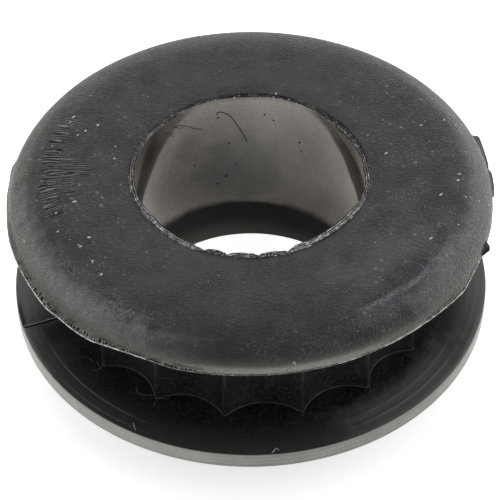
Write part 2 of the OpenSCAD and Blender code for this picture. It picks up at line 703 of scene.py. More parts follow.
    def _tones(self, mat: Surface, grain: NodeOutputs) -> None:
        """Lays the bluish patches, painted highlight along the crease, painted shade in front and painted
        sheen at the edges over the colour, between its grains.

        Args:
            mat: The material's tree.
            grain: What the grain group puts out.
        """
        grainy = mat.math("MULTIPLY_ADD", grain["Speckle"], -1.1, 1.25)
        soft = mat.math("MULTIPLY_ADD", grain["Speckle"], -0.35, 1.0)
        sparing = mat.math("MULTIPLY", grainy, mat.math("MULTIPLY_ADD", grain["Fleck"], -0.8, 1.0))
        for tone, grit, areas in (
            (self.bluish_tone, grainy, self.bluish_patches), (self.crease_highlight, grainy, self.crease_highlights),
            (self.dark, sparing, self.shaded_front), (self.sheen_tone, soft, self.painted_sheen), (self.cool_sheen_tone, soft, self.cool_sheen),
        ):
            mat.lay(areas, tone, grit)

    def _motes(self, mat: Surface, grain: NodeOutputs, coarse: NodeSocket) -> None:
        """Lays small pale motes over the colour.

        Args:
            mat: The material's tree.
            grain: What the grain group puts out.
            coarse: How far out to a side a point lies, 0 to 1.
        """
        motes = mat.group(mat.groups.dust, cell_size=0.30, speck_size=0.42, share=0.30).outputs["Mask"]
        shown = mat.math("MULTIPLY", motes, mat.ramp(grain["Mottle"], 0.25, 0.7))
        outwards = mat.math("MULTIPLY_ADD", coarse, 0.75, 0.25)
        mat.blend(mat.math("MULTIPLY", shown, outwards), 0.9, self.mote)

    def _scores(self, mat: Surface) -> None:
        """Draws fine pale and dark streaks round the lower part of the shoulder.

        Args:
            mat: The material's tree.
        """
        rings = mat.group(mat.groups.rings, pitch=0.10, breaks=0.9).outputs["Height"]
        scored = mat.strongest(self.scored)
        pale = mat.math("MULTIPLY", mat.ramp(rings, self.score_low, self.score_high), scored)
        dark = mat.math("MULTIPLY", mat.ramp(rings, -self.score_low, -self.score_high), scored)
        mat.blend(pale, 0.6, self.streak)
        mat.blend(dark, 0.75, self.nick)

    def _hem(self, mat: Surface, hem: float, height: NodeSocket, mottle: NodeSocket) -> None:
        """Draws a painted reflection of the floor along the shoulder's lower edge, broader in front, and a
        broken band of painted shade above it.

        Args:
            mat: The material's tree.
            hem: The edge's height, in millimetres.
            height: A point's height, in millimetres.
            mottle: The slow mottle, which breaks the dark line.
        """
        front = mat.stretch(self.floor_reflection_area)
        # Painted reflection of the floor: a pale band in front, and a pale line all round the lower edge.
        floor_reflection_band = mat.math("MULTIPLY", front, mat.ramp(height, hem + 0.46, hem + 0.16))
        mat.blend(floor_reflection_band, self.floor_reflection_area.share, self.edge)
        mat.blend(mat.ramp(height, hem + 0.12, hem + 0.03), 0.8, self.edge)
        # A broken band of painted shade just above the lower edge, fainter in front.
        upper = mat.ramp(height, hem + 0.24, hem + 0.17)
        gap = mat.math("MULTIPLY", upper, mat.ramp(height, hem + 0.09, hem + 0.15))
        gap = mat.math("MULTIPLY", gap, mat.math("MULTIPLY_ADD", front, -0.8, 1.0))
        broken = mat.math("MULTIPLY", gap, mat.ramp(mottle, 0.42, 0.52))
        mat.blend(broken, 0.7, self.nick)


@dataclass(frozen=True)
class BoreGloss(Finish):
    """The polished wall of the bore, faintly brown, with a greenish stain and a matte ring near its foot whose
    dark colour is painted shadow, the shaded floor that the wall would mirror there. The wall is paler towards
    the mouth in the middle as painted reflection of the lit floor, darker at both sides as painted reflection
    of the bore's dark wall, and has a painted glare at the upper right.

    Numbers that aren't multiplied by MM are in millimetres.
    """

    name: str = "Polished bore"
    base: RGB = (0.056, 0.047, 0.038)
    pale: RGB = (0.182, 0.163, 0.143)
    # ring: painted shadow, the dark band near the foot standing in for the shaded floor that the wall mirrors
    ring: RGB = (0.0075, 0.0075, 0.0062)
    foot: RGB = (0.020, 0.0195, 0.0165)
    # mouth: painted reflection of the lit floor, paler towards the mouth in the middle
    mouth: RGB = (0.185, 0.170, 0.152)
    stain: RGB = (0.014, 0.019, 0.016)
    # spot: dark spots, specks and turning marks, and painted reflection darkening both sides
    spot: RGB = (0.018, 0.012, 0.010)
    ring_low: float = 1.4
    ring_high: float = 2.62
    ring_tilt: float = 0.28
    glare_from: float = 13.72
    glare_slope: float = 0.94
    glare_x: Pair = (2.6 * MM, 3.3 * MM)
    glare: RGB = (0.27, 0.25, 0.225)
    mouth_from: float = 6.5
    stain_place: Tuple[float, float, float] = (-0.7, 6.25, 4.9)
    stain_size: float = 3.3
    middle_x: Pair = (5.5 * MM, 4.2 * MM)
    dull_y: Pair = (2.5 * MM, -1.0 * MM)
    grain_depth: float = 0.004 * MM

    def build(self, groups: ShaderGroups, sizes: SpoolSizes) -> Material:
        """Builds the material."""
        mat = Surface(self.name, groups, {
            "IOR": 1.5, "Specular IOR Level": 0.3, "Coat IOR": 1.9, "Coat Roughness": 0.07,
        })
        height = mat.group(groups.place).outputs["Height"]
        grain = mat.group(groups.grain, grain_size=0.15, mottle_size=1.4, contrast=4.5).outputs
        side = mat.axis(mat.where, 0)
        aside = mat.math("ABSOLUTE", side)
        mat.colour = mat.mix(grain["Mottle"], self.base, self.pale)
        unshaded_middle = mat.ramp(aside, *self.middle_x)
        # Paler towards the mouth in the middle: painted reflection of the lit floor.
        mouth = mat.math("MULTIPLY", mat.ramp(height, self.mouth_from, sizes.lip_z / MM), unshaded_middle)
        mat.cover(mouth, self.mouth)
        # Darker at both sides: painted reflection of the bore's dark wall.
        mat.blend(mat.math("SUBTRACT", 1.0, unshaded_middle), 0.52, self.spot)
        over = mat.math("MULTIPLY_ADD", side, self.glare_slope / MM, height)
        glare = mat.math("MULTIPLY", mat.ramp(over, self.glare_from, self.glare_from + 0.2),
                         mat.ramp(side, *self.glare_x))
        mat.blend(glare, 0.9, self.glare)
        rings = mat.group(groups.rings, pitch=0.32, breaks=0.7).outputs["Height"]
        mat.blend(mat.ramp(rings, 0.0, -0.9), 0.6, self.spot)
        centre = tuple(value * MM for value in self.stain_place)
        stain = mat.group(groups.patch, centre=centre, size=self.stain_size * MM, ragged=1.4).outputs["Mask"]
        mat.blend(stain, 0.75, self.stain)
        mat.blend(grain["Fleck"], 0.3, self.spot)
        specks = mat.group(groups.dust, cell_size=0.8, speck_size=0.16, share=0.55)
        mat.blend(specks.outputs["Mask"], 0.9, self.spot)
        level = mat.math("MULTIPLY_ADD", mat.ramp(side, 0.5 * MM, 3.0 * MM), self.ring_tilt, height)
        level = mat.math("ADD", mat.swing(grain["Mottle"], 0.10), level)
        fade = mat.math("MULTIPLY_ADD", mat.ramp(aside, 0.5 * MM, 3.5 * MM), 0.5, 0.2)
        above = mat.ramp(level, self.ring_high - 0.15, mat.math("ADD", fade, self.ring_high))
        below = mat.ramp(level, self.ring_low + 0.12, self.ring_low - 0.9)
        mat.cover(mat.ramp(level, self.ring_low + 0.1, self.ring_low - 0.5), self.foot)
        ring = mat.math("SUBTRACT", 1.0, mat.math("MAXIMUM", above, below))
        # The ring's dark colour is painted shadow, the shaded floor near the foot that the wall would mirror;
        # the ring is matte as well.
        mat.cover(ring, self.ring)
        dulled = mat.math("MULTIPLY_ADD", stain, -0.2, 1.0)
        kept = mat.spread(mat.ramp(mat.axis(mat.where, 1), *self.dull_y), 0.13, 1.0)
        polish = mat.math("MAXIMUM", mat.math("MULTIPLY", above, dulled), mat.math("MULTIPLY", below, kept))
        mat.set(base_color=mat.colour, roughness=mat.spread(polish, 0.7, 0.3), coat_weight=polish,
                normal=mat.bump(grain["Height"], self.grain_depth, 0.4))
        return mat.material


@dataclass(frozen=True)
class GrooveGloss(Finish):
    """The smooth black of the groove: the waist, the lower flange's top and the upper one's underside.

    The lower flange's top turns lighter towards its rim, painted light where the upper flange shades it near
    the waist.
    It is scuffed near its rim, with painted sheen on that scuffing at the front right, has a patch of painted
    shade by the split's step, and has two fine turned lines.
    """

    name: str = "Smooth black rubber"
    base: RGB = (0.003, 0.003, 0.0028)
    pale: RGB = (0.0120, 0.0117, 0.0110)
    # outer: painted light towards the rim; nearer the waist the upper flange shades the top
    outer: RGB = (0.036, 0.0353, 0.0333)
    shade: RGB = (0.003, 0.003, 0.003)
    fleck: RGB = (0.036, 0.036, 0.036)
    scuff: RGB = (0.190, 0.187, 0.178)
    # Scuffed stretches; the large one at the front right also carries painted sheen.
    scuffs_and_sheen: Tuple[Stretch, ...] = (
        Stretch(11.8, 1.7, -47.0, 28.0, 0.62, 0.6), Stretch(12.1, 0.9, -140.0, 24.0, 0.10, 0.9),
        Stretch(11.6, 0.7, -20.0, 11.0, 0.16, 0.6),
    )
    shades: Tuple[Stretch, ...] = (Stretch(10.9, 1.1, -158.0, 5.5, 1.0, 0.3),)
    lines: Tuple[Stretch, ...] = (
        Stretch(11.56, 0.06, -136.0, 24.0, 0.45, 0.6), Stretch(12.16, 0.06, -132.0, 20.0, 0.4, 0.8),
        Stretch(11.34, 0.06, -45.0, 24.0, 0.5, 0.6), Stretch(11.86, 0.06, -45.0, 22.0, 0.5, 0.8),
    )
    outer_gap: float = 0.1
    grain_depth: float = 0.006 * MM

    def build(self, groups: ShaderGroups, sizes: SpoolSizes) -> Material:
        """Builds the material."""
        mat = Surface(self.name, groups, {"IOR": 1.5, "Specular IOR Level": 0.36})
        grain = mat.group(groups.grain, grain_size=0.15, mottle_size=1.1, contrast=2.4)
        rings = mat.group(groups.rings, pitch=0.2, breaks=0.7).outputs["Height"]
        radius = mat.group(groups.place).outputs["Radius"]
        mat.colour = mat.mix(grain.outputs["Mottle"], self.base, self.pale)
        # Lighter towards the rim: painted light, the part nearer the waist lying in the upper flange's shade.
        outer = mat.ramp(radius, sizes.waist_r / MM + self.outer_gap, sizes.lower_r / MM)
        mat.cover(outer, self.outer)
        mat.blend(grain.outputs["Fleck"], 0.5, self.fleck)
        # Scuffing near the rim, partly painted sheen at the front right.
        mat.lay(self.scuffs_and_sheen, self.scuff, mat.spread(rings, 0.35, 0.9, -0.5, 0.7))
        mat.lay(self.lines, self.scuff)
        mat.lay(self.shades, self.shade)
        marks = mat.bump(rings, self.grain_depth, 0.5)
        mat.set(base_color=mat.colour, roughness=0.3,
                normal=mat.bump(grain.outputs["Height"], self.grain_depth, 0.7, marks))
        return mat.material


@dataclass(frozen=True)
class RimSatin(Finish):
    """The satin band of the lower flange's rim, with fine streaks round it; its pale colour is partly a
    painted reflection of the floor, lighter at the left as painted light and darker at the right as painted
    shade.
    """

    name: str = "Satin rim"
    # base and pale: partly a painted reflection of the floor
    base: RGB = (0.15, 0.145, 0.135)
    pale: RGB = (0.30, 0.293, 0.276)
    painted_sheen: RGB = (0.42, 0.41, 0.39)
    lit_side_x: Pair = (3.0 * MM, -8.0 * MM)
    shaded_side_x: Pair = (2.0 * MM, 8.0 * MM)
    streak_depth: float = 0.008 * MM

    def build(self, groups: ShaderGroups, sizes: SpoolSizes) -> Material:
        """Builds the material."""
        mat = Surface(self.name, groups, {"IOR": 1.5, "Specular IOR Level": 0.5})
        rings = mat.group(groups.rings, pitch=0.16, breaks=0.6).outputs["Height"]
        grain = mat.group(groups.grain, grain_size=0.15, mottle_size=1.2, contrast=1.4)
        streak = mat.math("MULTIPLY_ADD", rings, 0.8, grain.outputs["Mottle"])
        mat.colour = mat.mix(streak, self.base, self.pale)
        mat.blend(grain.outputs["Fleck"], 0.45, self.base)
        side = mat.axis(mat.where, 0)
        # Lighter at the left as painted light, darker at the right as painted shade.
        mat.blend(mat.ramp(side, *self.lit_side_x), 0.4, self.painted_sheen)
        mat.blend(mat.ramp(side, *self.shaded_side_x), 0.25, self.base)
        mat.set(base_color=mat.colour, roughness=0.35, normal=mat.bump(rings, self.streak_depth, 0.6))
        return mat.material


@dataclass(frozen=True)
class NoseSatin(Finish):
    """The plain satin black of the nose and its flat end."""

    name: str = "Satin black rubber"
    base: RGB = (0.014, 0.014, 0.015)
    pale: RGB = (0.022, 0.022, 0.023)
    grain_depth: float = 0.008 * MM

    def build(self, groups: ShaderGroups, sizes: SpoolSizes) -> Material:
        """Builds the material."""
        mat = Surface(self.name, groups, {"IOR": 1.5, "Specular IOR Level": 0.5})
        grain = mat.group(groups.grain, grain_size=0.15, mottle_size=2.0, contrast=1.2)
        mat.colour = mat.mix(grain.outputs["Mottle"], self.base, self.pale)
        mat.set(base_color=mat.colour, roughness=0.42,
                normal=mat.bump(grain.outputs["Height"], self.grain_depth, 0.8))
        return mat.material


@dataclass(frozen=True)
class TornFlash(Finish):
    """Thin torn rubber of one tone, with grain."""

    name: str
    base: RGB
    pale: RGB
    share: float = 0.5
    shine: float = 0.6
    softness: float = 0.35
    grain_depth: float = 0.02 * MM

    def build(self, groups: ShaderGroups, sizes: SpoolSizes) -> Material:
        """Builds the material."""
        mat = Surface(self.name, groups, {"IOR": 1.5, "Specular IOR Level": self.shine})
        grain = mat.group(groups.grain, grain_size=0.12, mottle_size=0.3, contrast=3.2)
        light = mat.ramp(grain.outputs["Mottle"], self.share, self.share + self.softness)
        mat.set(base_color=mat.mix(light, self.base, self.pale), roughness=0.4,
                normal=mat.bump(grain.outputs["Height"], self.grain_depth))
        return mat.material


@dataclass(frozen=True)
class Lint(Finish):
    """Dust, fibres or dried residue of one tone."""

    name: str
    base: RGB
    pale: RGB
    roughness: float = 0.7

    def build(self, groups: ShaderGroups, sizes: SpoolSizes) -> Material:
        """Builds the material."""
        mat = Surface(self.name, groups, {"IOR": 1.45, "Specular IOR Level": 0.3})
        grain = mat.group(groups.grain, grain_size=0.05, mottle_size=0.4, contrast=1.6)
        mat.colour = mat.mix(grain.outputs["Mottle"], self.base, self.pale)
        mat.set(base_color=mat.colour, roughness=self.roughness)
        return mat.material


# ------------------------------------------------------------
# Geometry Nodes trees


def add_geometry_tree(name: str, inputs: Dict[str, object]) -> Tuple[Tree, Node]:
    """Starts a Geometry Nodes tree.

    Args:
        name: The tree's name.
        inputs: Its named inputs, after the geometry.

    Returns:
        The tree's helper and its input node.
    """
    group = bpy.data.node_groups.new(name, "GeometryNodeTree")
    add_sockets(group, "INPUT", {"Geometry": GEOMETRY, **inputs})
    add_sockets(group, "OUTPUT", {"Geometry": GEOMETRY})
    tree = Tree(group)
    return tree, tree.node("NodeGroupInput")


def end_tree(tree: Tree, geometry: NodeSocket, materials: Sequence[Material]) -> None:
    """Ends a tree with Realize Instances and one Set Material for each zone, or for the whole piece.

    Args:
        tree: The tree's helper.
        geometry: What the tree has made.
        materials: One material, or one for each zone by the faces' zone attribute.
    """
    geometry = tree.out("GeometryNodeRealizeInstances", {0: geometry})
    zone = tree.attribute("zone", "INT")
    for index, material in enumerate(materials):
        made = tree.node("GeometryNodeSetMaterial", {"Geometry": geometry, "Material": material})
        if len(materials) > 1:
            chosen = tree.node("FunctionNodeCompare", data_type="INT", operation="EQUAL")
            tree.feed(chosen.inputs[2], zone)
            chosen.inputs[3].default_value = index
            tree.feed(made.inputs["Selection"], chosen.outputs[0])
        geometry = made.outputs[0]
    tree.node("NodeGroupOutput", {0: geometry})


def push_out(tree: Tree, geometry: NodeSocket,
             offset: NodeSocket) -> NodeSocket:
    """Moves the points of a geometry away from the bore's axis.

    Args:
        tree: The tree's helper.
        geometry: The geometry.
        offset: How far each point moves.

    Returns:
        The moved geometry.
    """
    flat = tree.out("ShaderNodeVectorMath", {0: tree.out("GeometryNodeInputPosition"), 1: (1.0, 1.0, 0.0)},
                    operation="MULTIPLY")
    away = tree.out("ShaderNodeVectorMath", {0: flat}, operation="NORMALIZE")
    return move_along(tree, geometry, away, offset)


def move_along(tree: Tree, geometry: NodeSocket, direction: NodeSocket,
               amount: NodeSocket) -> NodeSocket:
    """Moves the points of a geometry by a given amount of a direction.

    Args:
        tree: The tree's helper.
        geometry: The geometry.
        direction: The direction at each point, one long.
        amount: How far each point moves along it.

    Returns:
        The moved geometry.
    """
    move = tree.node("ShaderNodeVectorMath", {0: direction}, operation="SCALE")
    tree.feed(move.inputs["Scale"], amount)
    return tree.out("GeometryNodeSetPosition", {"Geometry": geometry, "Offset": move.outputs[0]})


def roughen(tree: Tree, geometry: NodeSocket, size: object, depth: object,
            seed: object) -> NodeSocket:
    """Moves the points of a geometry along their normals by a noise.

    Args:
        tree: The tree's helper.
        geometry: The geometry.
        size: How wide the noise's bumps are, in metres.
        depth: How far they reach, in metres.
        seed: The noise's place along its fourth axis.

    Returns:
        The rough geometry.
    """
    noise = tree.noise(tree.out("GeometryNodeInputPosition"), tree.math("DIVIDE", 1.0, size), 3.0, seed=seed)
    return move_along(tree, geometry, tree.out("GeometryNodeInputNormal"), tree.swing(noise, depth))


def flute_tree(materials: Sequence[Material]) -> NodeTree:
    """Cuts even flutes into a plain waist and makes the rubber slightly uneven.

    The share attribute says how far a point follows the waist's wall: 1 on it, and less and less across the
    faces on each side of it. The drift attribute is how far the flutes there are off their even places, as an
    angle.

    Args:
        materials: One material for each zone.

    Returns:
        The Geometry Nodes tree.
    """
    tree, ends = add_geometry_tree("Fluted spool", {
        "Waist radius": 0.01, "Flute count": 16.0, "Flute radius": 0.003,
        "Flute depth": 0.001, "Flute turn": 0.0, "Ridge rounding": 0.0001,
        "Bump size": 0.0025, "Unevenness": 0.00001, "Seed": 1.0,
    })
    given = ends.outputs
    spot = tree.out("GeometryNodeInputPosition")
    drift = tree.attribute("drift")
    start = tree.math("ADD", given["Flute turn"], drift)
    angle = tree.math("SUBTRACT", tree.math("ARCTAN2", tree.axis(spot, 1), tree.axis(spot, 0)), start)
    half_step = tree.math("DIVIDE", math.pi, given["Flute count"])
    within = tree.math("WRAP", angle, half_step, tree.math("MULTIPLY", half_step, -1.0))
    centre = tree.math("ADD", tree.math("SUBTRACT", given["Waist radius"], given["Flute depth"]),
                       given["Flute radius"])
    across = tree.math("MULTIPLY", centre, tree.math("SINE", within))
    depth = tree.math("SQRT", tree.math("SUBTRACT", tree.math("POWER", given["Flute radius"], 2.0),
                                        tree.math("POWER", across, 2.0)))
    hollow = tree.math("SUBTRACT", tree.math("MULTIPLY", centre, tree.math("COSINE", within)), depth)
    wall = tree.math("SMOOTH_MIN", hollow, given["Waist radius"], given["Ridge rounding"])
    share = tree.attribute("share")
    offset = tree.math("MULTIPLY", tree.math("SUBTRACT", wall, given["Waist radius"]), share)
    geometry = push_out(tree, given["Geometry"], offset)
    geometry = roughen(tree, geometry, given["Bump size"], given["Unevenness"], given["Seed"])
    end_tree(tree, geometry, materials)
    return tree.tree


def torn_tree(materials: Sequence[Material]) -> NodeTree:
    """Tears the edge of a thin ring: the reach attribute says how far a point may give way.

    Args:
        materials: The ring's materials, one for each zone.

    Returns:
        The Geometry Nodes tree.
    """
    tree, ends = add_geometry_tree("Torn ring", {
        "Tear size": 0.0003, "Tear depth": 0.0001, "Crumb size": 0.0001,
        "Crumb depth": 0.00002, "Seed": 1.0,
    })
    given = ends.outputs
    noise = tree.noise(tree.out("GeometryNodeInputPosition"), tree.math("DIVIDE", 1.0, given["Tear size"]),
                       4.0, 0.65, given["Seed"])
    reach = tree.attribute("reach")
    tear = tree.math("MULTIPLY", tree.swing(noise, given["Tear depth"]), reach)
    geometry = push_out(tree, given["Geometry"], tear)
    geometry = roughen(tree, geometry, given["Crumb size"], given["Crumb depth"], given["Seed"])
    end_tree(tree, geometry, materials)
    return tree.tree


def run_tree(piece: Object, tree: NodeTree, values: Dict[str, float]) -> None:
    """Runs a tree on a piece, keeps the result as the piece's plain mesh and removes the modifier.

    Args:
        piece: The object whose mesh the tree changes.
        tree: The Geometry Nodes tree.
        values: The tree's inputs by name.
    """
    modifier = piece.modifiers.new(tree.name, "NODES")
    modifier.node_group = tree
    names = {item.name: item.identifier for item in tree.interface.items_tree if item.in_out == "INPUT"}
    for name, value in values.items():
        modifier[names[name]] = value
    graph = bpy.context.evaluated_depsgraph_get()
    mesh = bpy.data.meshes.new_from_object(piece.evaluated_get(graph), preserve_all_data_layers=True,
                                           depsgraph=graph)
    piece.modifiers.remove(modifier)
    plain = piece.data
    piece.data = mesh
    bpy.data.meshes.remove(plain)
    mesh.name = piece.name


# ------------------------------------------------------------
# Meshes


def make_ring_mesh(name: str, points: np.ndarray, attributes: Dict[str, np.ndarray],
                   zones: Optional[np.ndarray] = None) -> Object:
    """Makes a closed ring of quads from a grid of points that wraps both ways.

    Args:
        name: The piece's name.
        points: An array of angles by section points by three; the section is walked so that faces point out.
        attributes: Point attributes by name, each an array of angles by section points.
        zones: The zone of the face after each section point, for one angle or for all, if faces have zones.

    Returns:
        The new object, linked to the scene.
    """
    around, along = points.shape[:2]
    index = np.arange(around * along).reshape(around, along)
    right = np.roll(index, -1, axis=0)
    quads = np.stack([index, right, np.roll(right, -1, axis=1), np.roll(index, -1, axis=1)], axis=-1)
    mesh = bpy.data.meshes.new(name)
    mesh.from_pydata(points.reshape(-1, 3).tolist(), [], quads.reshape(-1, 4).tolist())
    for key, values in attributes.items():
        layer = mesh.attributes.new(key, "FLOAT", "POINT")
        layer.data.foreach_set("value", np.ascontiguousarray(values, np.float32).ravel())
    if zones is not None:
        layer = mesh.attributes.new("zone", "INT", "FACE")
        layer.data.foreach_set("value", np.ascontiguousarray(np.broadcast_to(zones, (around, along)),
                                                             np.int32).ravel())
    mesh.shade_smooth()
    mesh.update()
    piece = bpy.data.objects.new(name, mesh)
    bpy.context.scene.collection.objects.link(piece)
    return piece


@dataclass
class Outline:
    """The half section of a ring, point by point, with each point's share and the zone that follows it."""

    radii: List[float] = field(default_factory=list)
    heights: List[float] = field(default_factory=list)
    shares: List[float] = field(default_factory=list)
    zones: List[int] = field(default_factory=list)

    def point(self, radius: float, height: float, zone: Zone, share: float = 0.0) -> None:
        """Adds one point.

        Args:
            radius: Its distance to the axis.
            height: Its height.
            zone: The zone that follows it.
            share: How far it follows the waist's wall.
        """
        self.radii.append(radius)
        self.heights.append(height)
        self.shares.append(share)
        self.zones.append(zone.value)

    def line(self, start: Pair, end: Pair, steps: int, zone: Zone, shares: Pair = (0.0, 0.0)) -> None:
        """Adds the points of a straight stretch, without its end.

        Args:
            start: Radius and height of its start.
            end: Radius and height of its end.
            steps: How many points it gets.
            zone: The zone along it.
            shares: The shares at its start and its end.
        """
        for t in np.linspace(0.0, 1.0, steps, endpoint=False):
            self.point(start[0] + (end[0] - start[0]) * t, start[1] + (end[1] - start[1]) * t, zone,
                       shares[0] + (shares[1] - shares[0]) * t)

    def arc(self, centre: Pair, radii: Pair, turn: Pair, steps: int, zone: Zone, share: float = 0.0) -> None:
        """Adds the points of an arc of an ellipse, without its end.

        Args:
            centre: Radius and height of its centre.
            radii: Its half widths, outwards and upwards.
            turn: The angles of its start and its end, in degrees from straight out.
            steps: How many points it gets.
            zone: The zone along it.
            share: The share along it.
        """
        for angle in np.radians(np.linspace(*turn, steps, endpoint=False)):
            self.point(centre[0] + radii[0] * math.cos(angle), centre[1] + radii[1] * math.sin(angle), zone,
                       share)


@dataclass
class Spool:
    """The rubber body: both flanges, the fluted waist, the nose and the bore."""

    sizes: SpoolSizes
    around: int = 560
    bore_steps: int = 22
    flat_steps: int = 14
    shoulder_steps: int = 34
    waist_steps: int = 10
    lower_steps: int = 12
    corner: float = 0.05 * MM
    cove: float = 0.05 * MM
    lip_round: float = 0.1 * MM
    lip_dip: float = 0.06 * MM
    lip_dip_w: float = 0.6 * MM
    ridge_rounding: float = 0.1 * MM
    bump_size: float = 2.5 * MM
    unevenness: float = 0.03 * MM
    seed: float = 3.0
    split_angles: Pair = (-162.3, 17.7)
    split_step: float = 0.05 * MM
    split_width: float = 0.5
    split_tail: float = 6.0
    split_fade: float = 0.8 * MM
    flute_drift: Table = (
        (-150.0, 0.0), (-118.8, -0.45), (-97.8, -0.65), (-86.5, 0.05), (-75.2, 0.7), (-53.9, 0.75),
        (-30.0, 0.0),
    )

    def outline(self) -> Outline:
        """Walks the half section from the foot of the bore up, out over the top and round to the nose.

        Returns:
            The outline, in metres.
        """
        s = self.sizes
        c = self.corner
        r = self.lip_round
        v = self.cove
        foot_r = s.bore_r + 2 * c
        dip = s.level - self.lip_dip
        flat_r = s.lip_r + self.lip_dip_w
        ceiling = s.upper_bottom_z
        floor = s.lower_top_z
        root_r = s.waist_r + v
        flat = Zone.TOP
        groove = Zone.GROOVE
        made = Outline()
        made.arc((foot_r, 2 * c), (2 * c, 2 * c), (270, 180), 4, Zone.BORE)
        made.line((s.bore_r, 2 * c), (s.bore_r, s.lip_z - c), self.bore_steps, Zone.BORE)
        made.arc((s.bore_r - c, s.lip_z - c), (c, c), (0, 90), 3, Zone.BORE)
        made.line((s.bore_r - c, s.lip_z), (s.lip_r + c, s.lip_z), 3, Zone.BORE)
        made.arc((s.lip_r + r, s.lip_z + r), (r, r), (270, 180), 4, flat)
        made.arc((s.lip_r + r, dip - r), (r, r), (180, 90), 5, flat)
        made.line((s.lip_r + r, dip), (flat_r, s.level), 4, flat)
        made.line((flat_r, s.level), (s.shoulder_r, s.level), self.flat_steps, flat)
        made.arc((s.shoulder_r, s.shoulder_z), (s.shoulder_w, s.level - s.shoulder_z), (90, 0),
                 self.shoulder_steps, flat)
        made.line((s.upper_r, s.shoulder_z), (s.upper_r, ceiling + c / 2), 2, flat)
        made.arc((s.upper_r - c / 2, ceiling + c / 2), (c / 2, c / 2), (0, -90), 2, groove)
        made.line((s.upper_r - c / 2, ceiling), (root_r, ceiling), 8, groove, (0.0, 1.0))
        made.arc((root_r, ceiling - v), (v, v), (90, 180), 5, groove, 1.0)
        made.line((s.waist_r, ceiling - v), (s.waist_r, floor + v), self.waist_steps, groove, (1.0, 1.0))
        made.arc((root_r, floor + v), (v, v), (180, 270), 5, groove, 1.0)
        made.line((root_r, floor), (s.lower_r - c, floor), self.lower_steps, groove, (1.0, 0.0))
        made.arc((s.lower_r - c, floor - c), (c, c), (90, 0), 3, Zone.RIM)
        made.line((s.lower_r, floor - c), (s.lower_r, s.nose_z + c), 6, Zone.RIM)
        made.arc((s.lower_r - c, s.nose_z + c), (c, c), (0, -45), 2, Zone.NOSE)
        made.line((s.lower_r - c * 1.2, s.nose_z - c * 0.2), (s.nose_r, s.nose_bevel), 5, Zone.NOSE)
        made.line((s.nose_r, s.nose_bevel), (s.nose_r - s.nose_bevel, 0.0), 3, Zone.NOSE)
        made.line((s.nose_r - s.nose_bevel, 0.0), (foot_r, 0.0), 5, Zone.NOSE)
        return made

    def angles(self) -> np.ndarray:
        """Even angles round the axis, with closer ones at the split line of the mould."""
        even = np.linspace(-math.pi, math.pi, self.around, endpoint=False)
        close = [math.radians(split + turn) for split in self.split_angles
                 for turn in np.arange(-1.2, 1.2, 0.2)]
        return np.unique(np.round(np.concatenate([even, close]), 6))

    def split_height(self, angle: np.ndarray, radius: np.ndarray) -> np.ndarray:
        """The step that the mould's split leaves across the lower flange's top.

        Args:
            angle: Angles round the axis, in radians.
            radius: Distances from the axis, in metres.

        Returns:
            How high the step stands at each point, in metres.
        """
        s = self.sizes
        height = np.zeros_like(radius)
        for split in self.split_angles:
            turn = (np.degrees(angle) - split + 180.0) % 360.0 - 180.0
            crest = np.exp(-(turn / self.split_width) ** 2)
            tail = np.where(turn < 0, np.exp(turn / self.split_tail), 0.0) * (1.0 - crest)
            height += self.split_step * (0.6 * crest + tail)
        inside = np.clip((radius - s.waist_r - self.cove) / self.split_fade, 0.0, 1.0)
        return height * inside

    def build(self, materials: Sequence[Material]) -> Object:
        """Makes the body's mesh.

        Args:
            materials: One material for each zone.

        Returns:
            The finished piece.
        """
        s = self.sizes
        section = self.outline()
        angle = self.angles()[:, None]
        radius = np.broadcast_to(np.array(section.radii), (len(angle), len(section.radii)))
        height = np.array(np.broadcast_to(np.array(section.heights), radius.shape))
        on_flange = np.abs(height - s.lower_top_z) < 0.0001 * MM
        height = height - np.where(on_flange, self.split_height(angle, radius), 0.0)
        points = np.stack([radius * np.cos(angle), radius * np.sin(angle), height], axis=-1)
        share = np.broadcast_to(np.array(section.shares), radius.shape)
        drift = np.broadcast_to(np.radians(follow(self.flute_drift, angle)), radius.shape)
        attributes = {"share": share, "drift": drift}
        piece = make_ring_mesh("spool_body", points, attributes, np.array(section.zones))
        run_tree(piece, flute_tree(materials), {
            "Waist radius": s.waist_r, "Flute count": float(s.flute_count), "Flute radius": s.flute_r,
            "Flute depth": s.flute_depth, "Flute turn": s.flute_turn, "Ridge rounding": self.ridge_rounding,
            "Bump size": self.bump_size, "Unevenness": self.unevenness, "Seed": self.seed,
        })
        return piece


def polar(radius_mm: float, angle_deg: float, height: float) -> Vector:
    """A point from its distance to the axis in millimetres, its angle from +X and its height in metres."""
    angle = math.radians(angle_deg)
    return Vector((radius_mm * MM * math.cos(angle), radius_mm * MM * math.sin(angle), height))


def follow(table: Sequence[Pair], angle: np.ndarray) -> np.ndarray:
    """Reads a closed table of (angle in degrees, value) at the given angles, which are in radians."""
    angles, values = zip(*table)
    return np.interp(np.degrees(angle), angles, values, period=360.0)


class Torn(Enum):
    """The tones of torn rubber; the value is the material's index."""

    PLAIN = 0
    DARK = 1
    PALE = 2
    LIGHT = 3


# The light and pale tones also serve as painted highlight on the mouth's ridges and the fin's edge, and the
# dark tone as painted shade between the mouth's ridges.
TORN_FINISHES = {
    Torn.DARK: TornFlash("Torn rubber, dark", (0.002, 0.002, 0.002), (0.060, 0.060, 0.058), 0.55, 0.12),
    Torn.PALE: TornFlash("Torn rubber, pale", (0.17, 0.17, 0.167), (0.50, 0.50, 0.49), 0.35),
    Torn.LIGHT: TornFlash("Torn rubber, light", (0.06, 0.06, 0.059), (0.17, 0.17, 0.167), 0.4),
}


